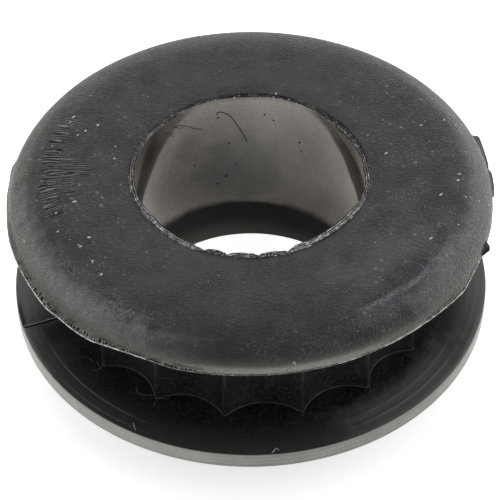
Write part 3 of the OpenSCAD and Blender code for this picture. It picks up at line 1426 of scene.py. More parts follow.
@dataclass
class TornRing:
    """A thin ring of torn rubber; its table pairs angles in degrees with the radii it reaches, in mm."""

    sizes: SpoolSizes
    name: str
    around: int
    seed: int
    tear: Pair
    crumb: Pair
    reach: Table

    def section(self, angle: np.ndarray) -> Tuple[np.ndarray, np.ndarray, np.ndarray]:
        """Walks the ring's section at every angle, so that its faces point out.

        Args:
            angle: The angles, in radians.

        Returns:
            Radii, heights and shares of the section's points.
        """
        raise NotImplementedError

    def tones(self, angle: np.ndarray, along: int) -> np.ndarray:
        """Chooses the tone of every face.

        Args:
            angle: The angles, in radians.
            along: How many faces the section has.

        Returns:
            The tones, as an array of angles by faces.
        """
        raise NotImplementedError

    def runs(self, rng: np.random.Generator, length: int, columns: int) -> np.ndarray:
        """Random shares for every face, alike along runs of the given number of faces."""
        shares = rng.uniform(0.0, 1.0, (self.around // length + 1, columns))
        return np.repeat(shares, length, axis=0)[:self.around]

    def wander(self, pieces: int) -> np.ndarray:
        """A smooth random value round the ring.

        Args:
            pieces: How many random values it runs through.

        Returns:
            A value between -1 and 1 for every angle.
        """
        rng = np.random.default_rng(self.seed)
        knots = rng.uniform(-1.0, 1.0, pieces)
        return np.interp(np.linspace(0, pieces, self.around, endpoint=False), np.arange(pieces + 1),
                         np.append(knots, knots[0]))[:, None]

    def build(self, materials: Sequence[Material]) -> Object:
        """Makes the ring and tears it.

        Args:
            materials: One material for each tone.

        Returns:
            The finished piece.
        """
        angle = np.linspace(-math.pi, math.pi, self.around, endpoint=False)[:, None]
        radius, height, reach = self.section(angle)
        points = np.stack([radius * np.cos(angle), radius * np.sin(angle), height], axis=-1)
        piece = make_ring_mesh(self.name, points, {"reach": reach}, self.tones(angle, radius.shape[1]))
        run_tree(piece, torn_tree(materials), {
            "Tear size": self.tear[0], "Tear depth": self.tear[1], "Crumb size": self.crumb[0],
            "Crumb depth": self.crumb[1], "Seed": float(self.seed),
        })
        return piece


@dataclass
class MouthFlash(TornRing):
    """The torn edge round the bore's mouth: three low ridges, and shallow scallops over the bore in front."""

    name: str = "mouth_flash"
    around: int = 1100
    seed: int = 11
    tear: Pair = (0.32 * MM, 0.16 * MM)
    crumb: Pair = (0.10 * MM, 0.035 * MM)
    across: int = 13
    thickness: float = 0.07 * MM
    ridges: float = 2.86
    first: float = 0.25
    sway: float = 0.10
    ridge_h: float = 0.025 * MM
    sink: float = 0.025 * MM
    reach: Table = (
        (-175.1, 5.90), (-160.0, 5.88), (-147.0, 5.82), (-132.0, 5.86), (-120.0, 5.88), (-114.0, 5.97),
        (-112.1, 6.03), (-110.6, 5.86), (-108.0, 5.80), (-104.5, 5.82), (-102.0, 5.92), (-101.0, 6.03),
        (-99.6, 5.88), (-94.0, 5.77), (-88.5, 5.84), (-86.8, 5.95), (-86.1, 5.98), (-84.8, 5.86),
        (-79.0, 5.78), (-74.0, 5.86), (-72.3, 5.97), (-71.0, 5.90), (-67.6, 5.72), (-64.3, 5.68),
        (-60.9, 5.71), (-47.8, 5.66), (-32.9, 5.74), (-21.4, 5.88), (-10.3, 5.90), (1.6, 5.78), (14.2, 5.75),
        (25.5, 5.66), (36.4, 5.62), (49.6, 5.70), (62.2, 5.83), (74.2, 5.85), (88.2, 5.78), (103.5, 5.80),
        (114.4, 5.88), (127.5, 5.76), (144.1, 5.79), (157.0, 5.88), (167.9, 5.90),
    )
    outer: Table = (
        (176.0, 6.19), (168.0, 6.16), (156.0, 6.13), (143.0, 6.02), (127.0, 5.97), (114.0, 6.05),
        (103.0, 5.96), (88.0, 5.99), (75.0, 6.05), (62.0, 6.05), (49.0, 6.03), (38.0, 5.92), (27.0, 5.98),
        (15.0, 5.98), (1.5, 6.07), (-8.0, 6.19), (-20.0, 6.12), (-32.0, 6.08), (-46.0, 5.97), (-59.0, 5.97),
        (-72.0, 6.13), (-84.0, 6.14), (-100.0, 6.12), (-111.0, 6.10), (-117.0, 6.19), (-132.0, 6.17),
        (-148.0, 6.13), (-162.0, 6.20),
    )
    pale_share: Table = (
        (-160.0, 0.25), (-140.0, 0.55), (-118.0, 0.7), (-110.0, 0.3), (-75.0, 0.3), (-68.0, 0.9),
        (-30.0, 0.7), (-10.0, 0.3), (20.0, 0.15), (60.0, 0.15), (110.0, 0.15), (150.0, 0.2),
    )
    crest_highlight_share: Table = (
        (-178.0, 0.95), (-150.0, 0.85), (-118.0, 0.6), (-110.0, 0.35), (-75.0, 0.35), (-60.0, 0.5),
        (-30.0, 0.6), (0.0, 0.7), (30.0, 0.6), (60.0, 0.5), (100.0, 0.5), (130.0, 0.8), (160.0, 0.95),
    )

    def section(self, angle: np.ndarray) -> Tuple[np.ndarray, np.ndarray, np.ndarray]:
        """Radii, heights and shares of the section's points."""
        inner = follow(self.reach, angle) * MM
        outer = follow(self.outer, angle) * MM
        share = np.linspace(0.0, 1.0, self.across)
        top = inner + (outer - inner) * share
        crest = self.sizes.level - self.sink
        wave = self.ridge(share)
        top_z = crest + self.ridge_h * wave - 0.02 * MM * (share > 0.99)
        radius = np.concatenate([top, top[:, ::-1]], axis=1)
        height = np.concatenate([top_z, np.full_like(top, crest - self.thickness)], axis=1)
        reach = np.broadcast_to(np.concatenate([1.0 - share, (1.0 - share)[::-1]]), radius.shape)
        return radius, height, reach

    def tones(self, angle: np.ndarray, along: int) -> np.ndarray:
        """Pale flecks on the ridges, light runs along their crests as painted highlight, dark gaps between
        them as painted shade, and a few dark flecks.
        """
        rng = np.random.default_rng(self.seed + 1)
        ridge = self.ridge((np.arange(along) + 0.5) / self.across)
        flecks = rng.uniform(0.0, 1.0, (self.around, along))
        chance = np.minimum(flecks, self.runs(rng, 4, along))
        tones = np.full((self.around, along), Torn.PLAIN.value)
        # Light runs on the crests are painted highlight; the dark between the ridges is painted shade.
        tones[(ridge > 0.3) & (self.runs(rng, 14, along) < follow(self.crest_highlight_share, angle))] = Torn.LIGHT.value
        tones[(ridge < -0.15) & (flecks < 0.9)] = Torn.DARK.value
        tones[(ridge > 0.1) & (chance < follow(self.pale_share, angle) * 0.55)] = Torn.PALE.value
        tones[flecks > 0.95] = Torn.DARK.value
        return tones

    def ridge(self, share: np.ndarray) -> np.ndarray:
        """How high the ridges stand across the ring, from -1 to 1."""
        return np.cos(2.0 * math.pi * (self.ridges * (share - self.first) + self.sway * self.wander(60)))


@dataclass
class PartingFin(TornRing):
    """The fin at the upper flange's lower edge, where the mould parted: a pale edge of painted highlight
    behind a row of nicks.
    """

    name: str = "parting_fin"
    around: int = 1500
    seed: int = 5
    tear: Pair = (0.6 * MM, 0.06 * MM)
    crumb: Pair = (0.12 * MM, 0.02 * MM)
    edge_w: float = 0.034 * MM
    rises: Table = (
        (0.47, 0.0), (0.30, 0.0), (0.15, 0.02), (0.06, 0.0), (0.085, -0.02), (0.03, -0.03), (-0.01, -0.03),
        (0.02, 0.0),
    )
    gives: Tuple[float, ...] = (0.0, 0.1, 0.5, 0.8, 1.0, 1.0, 0.8, 0.0)
    reach: Table = (
        (-178.0, 12.50), (-173.2, 12.50), (-166.0, 12.60), (-160.9, 12.64), (-154.8, 12.66), (-147.2, 12.74),
        (-141.6, 12.84), (-136.6, 12.77), (-131.6, 12.81), (-127.3, 12.79), (-122.5, 12.60), (-117.7, 12.48),
        (-112.8, 12.48), (-106.7, 12.56), (-101.2, 12.52), (-95.7, 12.49), (-90.0, 12.46), (-68.0, 12.46),
        (-61.0, 12.44), (-47.0, 12.45), (-39.1, 12.54), (-33.8, 12.62), (-28.0, 12.48), (-22.3, 12.44),
        (-21.0, 12.52), (-19.2, 12.68), (-17.9, 12.62), (-17.3, 12.44), (-2.1, 12.42), (-1.6, 12.50),
        (1.3, 12.57), (4.0, 12.59), (6.7, 12.60), (8.0, 12.50), (8.9, 12.55), (10.9, 12.60), (14.4, 12.67),
        (16.7, 12.72), (19.0, 12.80), (19.5, 12.46), (21.0, 12.44), (60.0, 12.45), (100.0, 12.44),
        (140.0, 12.45), (168.0, 12.45), (171.0, 12.56), (175.0, 12.50),
    )
    nick_width: Table = (
        (-178.0, 0.02), (-160.0, 0.05), (-152.0, 0.10), (-147.0, 0.26), (-141.0, 0.26), (-137.0, 0.10),
        (-133.0, 0.25), (-126.0, 0.22), (-121.0, 0.06), (-116.0, 0.04), (-104.0, 0.03), (-100.0, 0.0),
        (-68.0, 0.0), (-62.0, 0.02), (-40.0, 0.04), (-25.0, 0.05), (20.0, 0.10), (26.0, 0.0), (160.0, 0.0),
    )
    edge_highlight_share: Table = (
        (-175.0, 0.9), (-160.0, 1.0), (-116.0, 1.0), (-110.0, 0.0), (-72.0, 0.0), (-60.0, 0.3), (-45.0, 0.9),
        (-26.0, 0.8), (-23.0, 0.0), (24.0, 0.0), (30.0, 0.3), (160.0, 0.5),
    )

    def section(self, angle: np.ndarray) -> Tuple[np.ndarray, np.ndarray, np.ndarray]:
        """Radii, heights and shares of the section's points."""
        s = self.sizes
        outer = follow(self.reach, angle) * MM
        spread = outer - s.upper_r
        root = s.upper_r - 0.15 * MM
        edge = outer - self.edge_w
        nick = edge - follow(self.nick_width, angle) * MM * (0.7 + 0.3 * self.wander(260)) - 0.01 * MM
        low = s.upper_bottom_z
        radius = np.concatenate([
            np.full_like(outer, root), s.upper_r - 0.08 * MM + 0.12 * spread, nick, (nick + edge) / 2, edge,
            outer, outer - 0.02 * MM, np.full_like(outer, root),
        ], axis=1)
        hang = np.clip(spread / (0.4 * MM), 0.0, 1.0)
        height = np.concatenate([low + rise * MM + more * MM * hang for rise, more in self.rises], axis=1)
        reach = np.broadcast_to(np.array(self.gives), radius.shape)
        return radius, height, reach

    def tones(self, angle: np.ndarray, along: int) -> np.ndarray:
        """A pale edge of painted highlight with a few gaps, dark crumbs behind it, and dark slivers at the
        right.
        """
        rng = np.random.default_rng(self.seed + 1)
        tones = np.full((self.around, along), Torn.PLAIN.value)
        crumbs = np.array([Torn.DARK.value] * 13 + [Torn.PLAIN.value] * 4 + [Torn.LIGHT.value] * 3)
        crumbs = crumbs[(self.runs(rng, 1, 2) * len(crumbs)).astype(int)]
        tones[:, 2:4] = np.where(follow(self.nick_width, angle) > 0.015, crumbs, Torn.PLAIN.value)
        # The fin's outer edge gets a pale or light tone: painted highlight where its top catches the light.
        pale = self.runs(rng, 12, 1) < follow(self.edge_highlight_share, angle)
        slivers = np.abs(angle) < math.radians(24.0)
        tones[:, 4:5] = np.where(pale, Torn.PALE.value, np.where(slivers, Torn.PLAIN.value, Torn.LIGHT.value))
        torn_off = slivers & (follow(self.reach, angle) > 12.49)
        tones[:, 1:5] = np.where(torn_off, Torn.DARK.value, tones[:, 1:5])
        tones[:, 5:7] = Torn.DARK.value
        return tones


Strand = Tuple[Sequence[Vector], float]


@dataclass
class Threads:
    """Thin strands on a surface, each a list of points and a thickness, joined into one piece."""

    name: str
    strands: Sequence[Strand]
    sides: int = 6
    end_share: float = 0.35

    def build(self, material: Material) -> Object:
        """Makes one closed tube along each strand, thinner at its ends.

        Args:
            material: The strands' material.

        Returns:
            The finished piece.
        """
        points: List[Vector] = []
        faces: List[Tuple[int, ...]] = []
        for path, radius in self.strands:
            start = len(points)
            count = len(path)
            for number, spot in enumerate(path):
                ahead = path[min(number + 1, count - 1)] - path[max(number - 1, 0)]
                side = ahead.orthogonal().normalized()
                other = ahead.normalized().cross(side)
                slim = self.end_share if number in (0, count - 1) else 1.0
                for turn in range(self.sides):
                    a = 2.0 * math.pi * turn / self.sides
                    points.append(spot + (side * math.cos(a) + other * math.sin(a)) * radius * slim)
            for ring in range(count - 1):
                for turn in range(self.sides):
                    low = start + ring * self.sides
                    after = (turn + 1) % self.sides
                    faces.append((low + turn, low + after, low + after + self.sides, low + turn + self.sides))
            faces.append(tuple(start + turn for turn in reversed(range(self.sides))))
            last = start + (count - 1) * self.sides
            faces.append(tuple(last + turn for turn in range(self.sides)))
        mesh = bpy.data.meshes.new(self.name)
        mesh.from_pydata(points, [], faces)
        mesh.materials.append(material)
        mesh.shade_smooth()
        piece = bpy.data.objects.new(self.name, mesh)
        bpy.context.scene.collection.objects.link(piece)
        return piece


def smooth_path(places: Sequence[Vector], steps: int = 5) -> List[Vector]:
    """Runs a Catmull-Rom curve through a list of points.

    Args:
        places: The points.
        steps: How many points the curve gets for each of them.

    Returns:
        The points of the curve.
    """
    ends = [places[0] * 2 - places[1], *places, places[-1] * 2 - places[-2]]
    path: List[Vector] = []
    for before, start, end, after in zip(ends, ends[1:], ends[2:], ends[3:]):
        for t in np.linspace(0.0, 1.0, steps, endpoint=False):
            bend = 2 * before - 5 * start + 4 * end - after
            twist = 3 * start - before - 3 * end + after
            path.append(0.5 * (2 * start + (end - before) * t + bend * t ** 2 + twist * t ** 3))
    path.append(places[-1])
    return path


@dataclass
class Marks:
    """Where the marks on the rubber lie.

    A place is (radius in mm, angle) on a flat face and (angle, height in mm) in the bore.
    """

    sizes: SpoolSizes
    lift: float = 0.004 * MM
    line_r: float = 0.016 * MM
    scuff_r: float = 0.012 * MM
    fibre_r: float = 0.017 * MM
    fibre_lift: float = 0.02 * MM
    # Thickness and turn of the pale strand of painted highlight along the split's step
    ledge_highlight_r: float = 0.014 * MM
    ledge_highlight_turn: float = -0.4
    curl_r: float = 0.02 * MM
    curl_out: float = 0.03
    hair_r: float = 0.026 * MM
    # Thickness of the dark strand of painted shadow along the split line
    split_shadow_r: float = 0.032 * MM
    scratch_r: float = 0.020 * MM
    dot_r: float = 0.05 * MM
    nub_r: float = 0.06 * MM
    lower_lines: Tuple[Table, ...] = (
        ((9.07, -133.1), (9.01, -129.1), (9.0, -125.8), (9.2, -123.1), (9.52, -120.9)),
        ((9.83, -126.2), (10.02, -125.6), (10.13, -124.3), (10.1, -122.7), (9.9, -120.8), (9.76, -120.0)),
        ((9.96, -118.6), (9.78, -116.2), (9.66, -115.2)),
        ((10.51, -117.9), (10.15, -118.5)),
        ((9.39, -100.2), (9.70, -98.9), (10.02, -97.6)),
        ((10.25, -75.5), (10.05, -75.2), (9.77, -74.0), (9.51, -71.9)),
        ((9.2, -39.6), (9.07, -45.3), (9.28, -49.1), (9.66, -51.7), (10.18, -53.9), (10.35, -54.2)),
    )
    lower_scuffs: Tuple[Table, ...] = (
        ((10.21, -144.1), (10.24, -143.1), (10.29, -142.2)),
        ((10.68, -139.9), (10.41, -139.2), (10.03, -139.3), (9.84, -139.9)),
        ((10.05, -141.9), (10.17, -140.0), (10.23, -138.5)),
        ((9.84, -139.9), (9.76, -138.7), (9.74, -137.2)),
    )
    lower_fibres: Tuple[Table, ...] = (
        ((11.93, -119.7), (12.04, -119.2), (12.14, -118.7), (12.29, -118.0)),
        ((12.38, -85.4), (12.22, -84.7), (12.1, -84.1), (12.18, -83.8), (12.27, -83.7)),
    )
    hair: Table = (
        (105.3, 9.26), (106.2, 9.33), (105.6, 9.44), (103.7, 9.40), (101.4, 9.23), (99.3, 9.0), (97.3, 8.58),
        (95.3, 8.11), (93.3, 7.63), (92.2, 7.32), (91.3, 6.99),
    )
    scratches: Tuple[Table, ...] = (
        ((130.1, 9.45), (127.0, 9.43), (122.3, 9.13), (118.7, 8.80), (113.3, 8.45)),
        ((134.8, 9.44), (132.2, 9.17), (129.8, 8.79)),
        ((129.0, 9.47), (126.1, 9.20), (123.7, 9.11)),
    )
    wall_dots: Table = (
        (100.3, 7.05), (96.7, 5.45), (101.8, 4.68), (106.4, 4.21), (82.8, 9.11), (78.5, 8.75), (64.0, 6.95),
        (65.2, 7.53), (118.3, 6.07), (105.5, 9.05),
    )
    top_dust: Table = (
        (9.25, -149.5), (9.96, -141.0), (10.19, -135.4), (9.93, -148.5), (9.89, -147.7), (12.0, -159.7),
        (10.43, -156.5), (10.13, -163.4), (9.08, -166.3), (10.15, 155.1), (10.15, 157.5), (9.08, 160.0),
        (8.68, 155.8), (7.19, 164.6), (7.01, 171.8), (9.35, 162.6), (10.41, 168.4), (10.94, 22.0),
        (9.75, -10.3), (10.99, -8.8), (11.67, -8.4), (10.56, -3.1), (10.63, -0.6), (10.99, -19.6),
        (12.17, -7.3), (9.53, 21.1), (7.1, 10.6), (10.12, -28.3), (11.42, 19.9), (6.12, 77.0),
    )
    skirt_curl: Table = ((12.27, -80.8), (12.21, -80.5), (12.25, -80.25), (12.33, -80.1))
    split_line: Table = ((12.44, -162.0), (11.73, -162.1), (10.79, -162.5), (10.3, -162.9))
    split_nub: Pair = (12.46, -161.3)

    def on_lower(self, places: Sequence[Pair], lift: float) -> List[Vector]:
        """Points on the lower flange's top."""
        return [polar(radius, angle, self.sizes.lower_top_z + lift) for radius, angle in places]

    def in_bore(self, places: Sequence[Pair]) -> List[Vector]:
        """Points on the bore's wall."""
        radius = (self.sizes.bore_r - self.lift) / MM
        return [polar(radius, angle, height * MM) for angle, height in places]

    def strands_below(self) -> List[Strand]:
        """The raised lines at the foot of the flutes."""
        return [(smooth_path(self.on_lower(line, self.lift)), radius)
                for lines, radius in ((self.lower_lines, self.line_r), (self.lower_scuffs, self.scuff_r))
                for line in lines]

    def strands_pale(self) -> List[Strand]:
        """The pale fibres that lie on the lower flange, a pale strand of painted highlight along the top of
        the split's step, and the curl on the skirt.
        """
        strands = [(self.on_lower(line, self.fibre_lift), self.fibre_r) for line in self.lower_fibres]
        # A pale strand of painted highlight just behind the split line, along the top of its step.
        ledge_highlight = [(radius, angle + self.ledge_highlight_turn) for radius, angle in self.split_line]
        strands.append((self.on_lower(ledge_highlight, 0.0), self.ledge_highlight_r))
        curl = [polar(radius + self.curl_out, angle, self.sizes.top_height(radius * MM))
                for radius, angle in self.skirt_curl]
        strands.append((curl, self.curl_r))
        return [(smooth_path(places), radius) for places, radius in strands]

    def strands_dark(self) -> List[Strand]:
        """The hair and the scratches on the bore's wall, and a dark strand of painted shadow along the split
        line.
        """
        strands = [(self.in_bore(self.hair), self.hair_r)]
        # A dark strand of painted shadow along the split line, below its step.
        strands.append((self.on_lower(self.split_line, 0.0), self.split_shadow_r))
        strands += [(self.in_bore(line), self.scratch_r) for line in self.scratches]
        return [(smooth_path(places), radius) for places, radius in strands]

    def dots(self) -> List[Tuple[Vector, float]]:
        """The dark spots on the bore's wall."""
        return [(place, self.dot_r) for place in self.in_bore(self.wall_dots)]

    def nub(self) -> List[Tuple[Vector, float]]:
        """The pale nub at the outer end of the split line."""
        return [(place, self.nub_r) for place in self.on_lower([self.split_nub], self.lift)]


@dataclass
class Specks:
    """Small grains on a surface: points with a size, each turned into a rough little stone by a node tree."""

    name: str
    places: Sequence[Tuple[Vector, float]]
    spread: float = 0.5
    turns: Pair = (0.0, 2.0 * math.pi)
    flatness: float = 0.45
    tilt: float = 0.2
    seed: int = 4

    def build(self, material: Material) -> Object:
        """Makes the grains.

        Args:
            material: The grains' material.

        Returns:
            The finished piece.
        """
        mesh = bpy.data.meshes.new(self.name)
        mesh.from_pydata([place for place, _ in self.places], [], [])
        sizes = mesh.attributes.new("size", "FLOAT", "POINT")
        sizes.data.foreach_set("value", [size for _, size in self.places])
        piece = bpy.data.objects.new(self.name, mesh)
        bpy.context.scene.collection.objects.link(piece)
        run_tree(piece, self._tree(material), {
            "Flatness": self.flatness, "Spread": self.spread, "Least turn": self.turns[0],
            "Most turn": self.turns[1], "Tilt": self.tilt, "Seed": self.seed,
        })
        return piece

    def _tree(self, material: Material) -> NodeTree:
        """Places a stone on every point, turned and stretched at random.

        Args:
            material: The stones' material.

        Returns:
            The Geometry Nodes tree.
        """
        tree, ends = add_geometry_tree("Grains", {
            "Flatness": 0.5, "Spread": 0.5, "Least turn": 0.0,
            "Most turn": 1.0, "Tilt": 0.2, "Seed": 1,
        })
        given = ends.outputs
        stone = tree.out("GeometryNodeMeshIcoSphere", {"Radius": 1.0, "Subdivisions": 2})
        turn = tree.node("FunctionNodeRandomValue", data_type="FLOAT_VECTOR")
        tilts = (tree.math("MULTIPLY", given["Tilt"], -1.0), given["Tilt"])
        for index, (tilt, name) in enumerate(zip(tilts, ("Least turn", "Most turn"))):
            angles = tree.out("ShaderNodeCombineXYZ", {0: tilt, 1: tilt, 2: given[name]})
            tree.feed(turn.inputs[index], angles)
        tree.feed(turn.inputs["Seed"], given["Seed"])
        stretch = tree.node("FunctionNodeRandomValue", data_type="FLOAT")
        tree.feed(stretch.inputs[2], 1.0)
        tree.feed(stretch.inputs[3], tree.math("MULTIPLY_ADD", given["Spread"], 2.0, 1.0))
        tree.feed(stretch.inputs["Seed"], given["Seed"])
        size = tree.attribute("size")
        scale = tree.out("ShaderNodeCombineXYZ", {
            0: tree.math("MULTIPLY", size, stretch.outputs[1]), 1: size,
            2: tree.math("MULTIPLY", size, given["Flatness"]),
        })
        made = tree.node("GeometryNodeInstanceOnPoints", {"Points": given["Geometry"], "Instance": stone,
                                                          "Scale": scale})
        tree.feed(made.inputs["Rotation"], turn.outputs[0])
        end_tree(tree, made.outputs[0], [material])
        return tree.tree


def scatter_on_top(sizes: SpoolSizes, marks: Marks, extra: int = 90, seed: int = 21,
                   noted: Pair = (0.040, 0.058), faint: Pair = (0.008, 0.022),
                   reach: Pair = (6.6, 11.8)) -> List[Tuple[Vector, float]]:
    """Strews dust on the upper flange: the noted grains, then fainter ones at random.

    Args:
        sizes: The sizes of the spool.
        marks: Holds the noted grains.
        extra: How many fainter grains there are.
        seed: The seed of what is random.
        noted: The least and the greatest size of the noted grains, in millimetres.
        faint: The same of the fainter ones.
        reach: The radii between which those lie, in millimetres.

    Returns:
        Places and sizes of the grains.
    """
    rng = np.random.default_rng(seed)
    places = [(polar(radius, angle, sizes.top_height(radius * MM)), rng.uniform(*noted) * MM)
              for radius, angle in marks.top_dust]
    for _ in range(extra):
        radius = float(rng.uniform(*reach))
        angle = float(rng.choice((180.0, 0.0)) + rng.normal(0.0, 45.0))
        places.append((polar(radius, angle, sizes.top_height(radius * MM)), rng.uniform(*faint) * MM))
    return places


def scatter_in_groove(sizes: SpoolSizes, extra: int = 60, seed: int = 8, fine: Pair = (0.010, 0.026),
                      reach: Pair = (9.9, 12.3)) -> List[Tuple[Vector, float]]:
    """Strews fine dust on the lower flange's top.

    Args:
        sizes: The sizes of the spool.
        extra: How many grains there are.
        seed: The seed of what is random.
        fine: The least and the greatest size, in millimetres.
        reach: The radii between which the grains lie, in millimetres.

    Returns:
        Places and sizes of the grains.
    """
    rng = np.random.default_rng(seed)
    return [(polar(float(rng.uniform(*reach)), float(rng.uniform(-180.0, 180.0)), sizes.lower_top_z),
             rng.uniform(*fine) * MM) for _ in range(extra)]


# ------------------------------------------------------------
# Studio


@dataclass(frozen=True)
class Lamp:
    """A rectangular soft lamp, placed by its direction from the bushing."""

    name: str
    azimuth: float
    elevation: float
    width: float
    height: float
    radiance: float
    colour: RGB = (1.0, 1.0, 1.0)
    distance: float = 0.5

    def build(self, aim: Vector) -> None:
        """Adds the lamp; its power follows from its radiance and its area.

        Args:
            aim: The point that it faces.
        """
        data = bpy.data.lights.new(self.name, "AREA")
        data.shape = "RECTANGLE"
        data.size = self.width
        data.size_y = self.height
        data.energy = self.radiance * math.pi * self.width * self.height
        data.color = self.colour
        lamp = bpy.data.objects.new(self.name, data)
        turn, rise = math.radians(self.azimuth), math.radians(self.elevation)
        away = Vector((math.cos(turn) * math.cos(rise), math.sin(turn) * math.cos(rise), math.sin(rise)))
        lamp.location = aim + away * self.distance
        lamp.rotation_euler = away.to_track_quat("Z", "Y").to_euler()
        bpy.context.scene.collection.objects.link(lamp)


@dataclass
class Studio:
    """A pale floor, soft lamps, a light surround and the camera."""

    sizes: SpoolSizes
    distance: float = 115.7 * MM
    elevation: float = 45.42
    aim_height: float = 5.173 * MM
    aim_side: float = -0.030 * MM
    roll: float = -0.275
    focal_px: float = 2194.0
    image_px: float = 500.0
    sensor: float = 36.0
    clip: Pair = (0.001, 10.0)
    floor_half: float = 0.6
    floor_gap: float = 0.02 * MM
    white: RGB = (0.86, 0.86, 0.86)
    floor_glow: float = 0.62
    hole_glow: float = 0.95
    hole_mirrored: Pair = (0.32, 0.90)
    hole_y: float = 1.5 * MM
    edge_mirrored: float = 0.36
    side_mirrored: float = 0.26
    side_x: Pair = (1.5 * MM, -2.0 * MM)
    floor_mirrored: Pair = (0.38, 0.95)
    floor_y: Pair = (-9.0 * MM, 3.0 * MM)
    bounce_tone: RGB = (1.0, 0.935, 0.86)
    horizon: float = 2.0
    zenith: float = 0.12
    rise: Pair = (0.05, 0.6)
    right_gain: float = 0.15
    lamps: Tuple[Lamp, ...] = (
        Lamp("back_softbox", 90.0, 59.0, 0.60, 0.32, 2.5),
        Lamp("left_softbox", 180.0, 45.0, 0.60, 0.34, 1.0),
        Lamp("right_softbox", 0.0, 45.0, 0.60, 0.34, 1.4),
    )

    def camera(self) -> None:
        """Places the camera that looks down at the front of the bushing."""
        data = bpy.data.cameras.new("camera")
        data.sensor_width = self.sensor
        data.lens = self.focal_px / self.image_px * self.sensor
        data.clip_start, data.clip_end = self.clip
        camera = bpy.data.objects.new("camera", data)
        bpy.context.scene.collection.objects.link(camera)
        tilt = math.radians(self.elevation)
        back = Vector((0.0, -math.cos(tilt), math.sin(tilt)))
        camera.location = Vector((self.aim_side, 0.0, self.aim_height)) + back * self.distance
        camera.rotation_mode = "QUATERNION"
        spin = Matrix.Rotation(math.radians(self.roll), 4, "Z").to_quaternion()
        camera.rotation_quaternion = (-back).to_track_quat("-Z", "Y") @ spin
        bpy.context.scene.camera = camera

    def floor(self) -> None:
        """Lays the pale floor under the nose; it glows for the camera and in reflections only."""
        half = self.floor_half
        mesh = bpy.data.meshes.new("floor")
        low = -self.floor_gap
        mesh.from_pydata([(-half, -half, low), (half, -half, low), (half, half, low), (-half, half, low)], [],
                         [(0, 1, 2, 3)])
        floor = bpy.data.objects.new("floor", mesh)
        bpy.context.scene.collection.objects.link(floor)
        material = bpy.data.materials.new("Pale floor")
        material.use_nodes = True
        tree = Tree(material.node_tree)
        material.node_tree.nodes.clear()
        where = tree.out("ShaderNodeTexCoord", output="Object")
        speck = tree.noise(where, 40.0)
        tint = tree.mix(speck, self.white, tuple(value * 0.98 for value in self.white))
        base = tree.out("ShaderNodeBsdfDiffuse", {"Color": tint})
        rays = tree.node("ShaderNodeLightPath")
        reach = tree.out("ShaderNodeVectorMath", {0: where}, "Value", operation="LENGTH")
        clear = tree.ramp(reach, self.sizes.bore_r, self.sizes.nose_r)
        mirrored = tree.math("MAXIMUM", rays.outputs["Is Glossy Ray"], rays.outputs["Is Transmission Ray"])
        ahead = tree.axis(where, 1)
        # Glossy and transmission rays see an uneven glow, set by place in the hole and round the nose: painted
        # light that the rubber mirrors.
        spill = tree.spread(ahead, *self.hole_mirrored, self.hole_y, -self.sizes.bore_r)
        edge = tree.math("MULTIPLY", tree.ramp(reach, 0.6 * self.sizes.bore_r, self.sizes.bore_r),
                         self.edge_mirrored)
        aside = tree.ramp(tree.axis(where, 0), *self.side_x)
        aside = tree.math("MULTIPLY_ADD", aside, self.side_mirrored, -0.04)
        spill = tree.math("ADD", tree.math("ADD", spill, aside), edge)
        direct = tree.spread(clear, self.hole_glow, self.floor_glow)
        beyond = tree.spread(ahead, *self.floor_mirrored, *self.floor_y)
        bounced = tree.spread(clear, spill, beyond)
        level = tree.math("MAXIMUM", tree.math("MULTIPLY", rays.outputs["Is Camera Ray"], direct),
                          tree.math("MULTIPLY", mirrored, bounced))
        tone = tree.mix(rays.outputs["Is Camera Ray"], self.bounce_tone, (1.0, 1.0, 1.0))
        glow = tree.out("ShaderNodeEmission", {"Color": tone, "Strength": level})
        both = tree.out("ShaderNodeAddShader", {0: base, 1: glow})
        tree.node("ShaderNodeOutputMaterial", {"Surface": both})
        mesh.materials.append(material)

    def world(self) -> None:
        """Makes a surround that is light at the horizon and dim overhead, and white for the camera."""
        world = bpy.data.worlds.new("studio")
        world.use_nodes = True
        bpy.context.scene.world = world
        tree = Tree(world.node_tree)
        world.node_tree.nodes.clear()
        rays = tree.node("ShaderNodeLightPath")
        back = tree.node("ShaderNodeSeparateXYZ", {0: tree.out("ShaderNodeNewGeometry", output="Incoming")})
        up = tree.math("MULTIPLY", back.outputs[2], -1.0)
        right = tree.math("MULTIPLY", back.outputs[0], -self.right_gain)
        rise = tree.out("ShaderNodeMapRange", {
            0: up, 1: self.rise[0], 2: self.rise[1], 3: self.horizon, 4: self.zenith,
        }, interpolation_type="SMOOTHSTEP")
        around = tree.math("MULTIPLY", rise, tree.math("ADD", 1.0, right))
        strength = tree.math("MAXIMUM", around, rays.outputs["Is Camera Ray"])
        shade = tree.out("ShaderNodeBackground", {"Color": (1.0, 1.0, 1.0, 1.0), "Strength": strength})
        tree.node("ShaderNodeOutputWorld", {"Surface": shade})

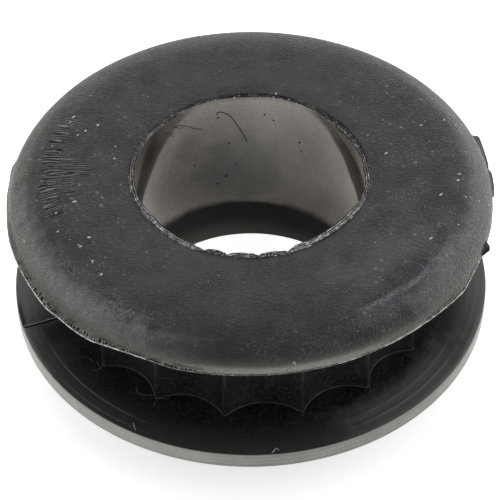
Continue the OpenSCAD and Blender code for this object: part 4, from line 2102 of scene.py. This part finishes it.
    def build(self) -> None:
        """Sets up the whole studio."""
        self.camera()
        self.floor()
        self.world()
        for lamp in self.lamps:
            lamp.build(Vector((0.0, 0.0, self.sizes.top_z / 2)))
        bpy.context.scene.view_settings.view_transform = "Standard"


# ------------------------------------------------------------


def place_piece(piece: Object) -> None:
    """Makes a finished piece ride with the bushing and logs its face count."""
    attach(piece, BODY)
    log.info("%s: %d faces", piece.name, len(piece.data.polygons))


def main() -> None:
    """Builds the bushing's pieces and the studio in order."""
    logging.basicConfig(level=logging.INFO, format="%(name)s: %(message)s")
    sizes = SpoolSizes.from_frame(frame)
    groups = ShaderGroups()
    finishes = {
        Zone.TOP: MatteTop(), Zone.BORE: BoreGloss(), Zone.GROOVE: GrooveGloss(), Zone.RIM: RimSatin(),
        Zone.NOSE: NoseSatin(),
    }
    materials = [finishes[zone].build(groups, sizes) for zone in Zone]
    body = Spool(sizes).build(materials)
    place_piece(body)
    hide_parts(NODE)
    marks = Marks(sizes)
    torn = [materials[Zone.TOP.value]]
    torn += [TORN_FINISHES[tone].build(groups, sizes) for tone in (Torn.DARK, Torn.PALE, Torn.LIGHT)]
    line = Lint("Raised line", (0.05, 0.05, 0.049), (0.11, 0.11, 0.108), 0.4).build(groups, sizes)
    # Pale lint also draws the pale strand of painted highlight along the split's step.
    pale = Lint("Pale lint", (0.30, 0.30, 0.29), (0.55, 0.55, 0.53)).build(groups, sizes)
    # Dark hair also draws the dark strand of painted shadow along the split line.
    dark = Lint("Dark hair", (0.006, 0.006, 0.006), (0.02, 0.018, 0.016)).build(groups, sizes)
    for piece in (
        MouthFlash(sizes).build(torn),
        PartingFin(sizes).build(torn),
        Threads("flute_foot_lines", marks.strands_below()).build(line),
        Threads("groove_fibres", marks.strands_pale()).build(pale),
        Threads("bore_hairs", marks.strands_dark()).build(dark),
        Specks("bore_specks", marks.dots()).build(dark),
        Specks("split_nub", marks.nub()).build(pale),
        Specks("top_dust", scatter_on_top(sizes, marks), 0.8, (0.2, 1.0)).build(pale),
        Specks("groove_dust", scatter_in_groove(sizes)).build(line),
    ):
        place_piece(piece)
    Studio(sizes).build()


if __name__ == "__main__":
    main()
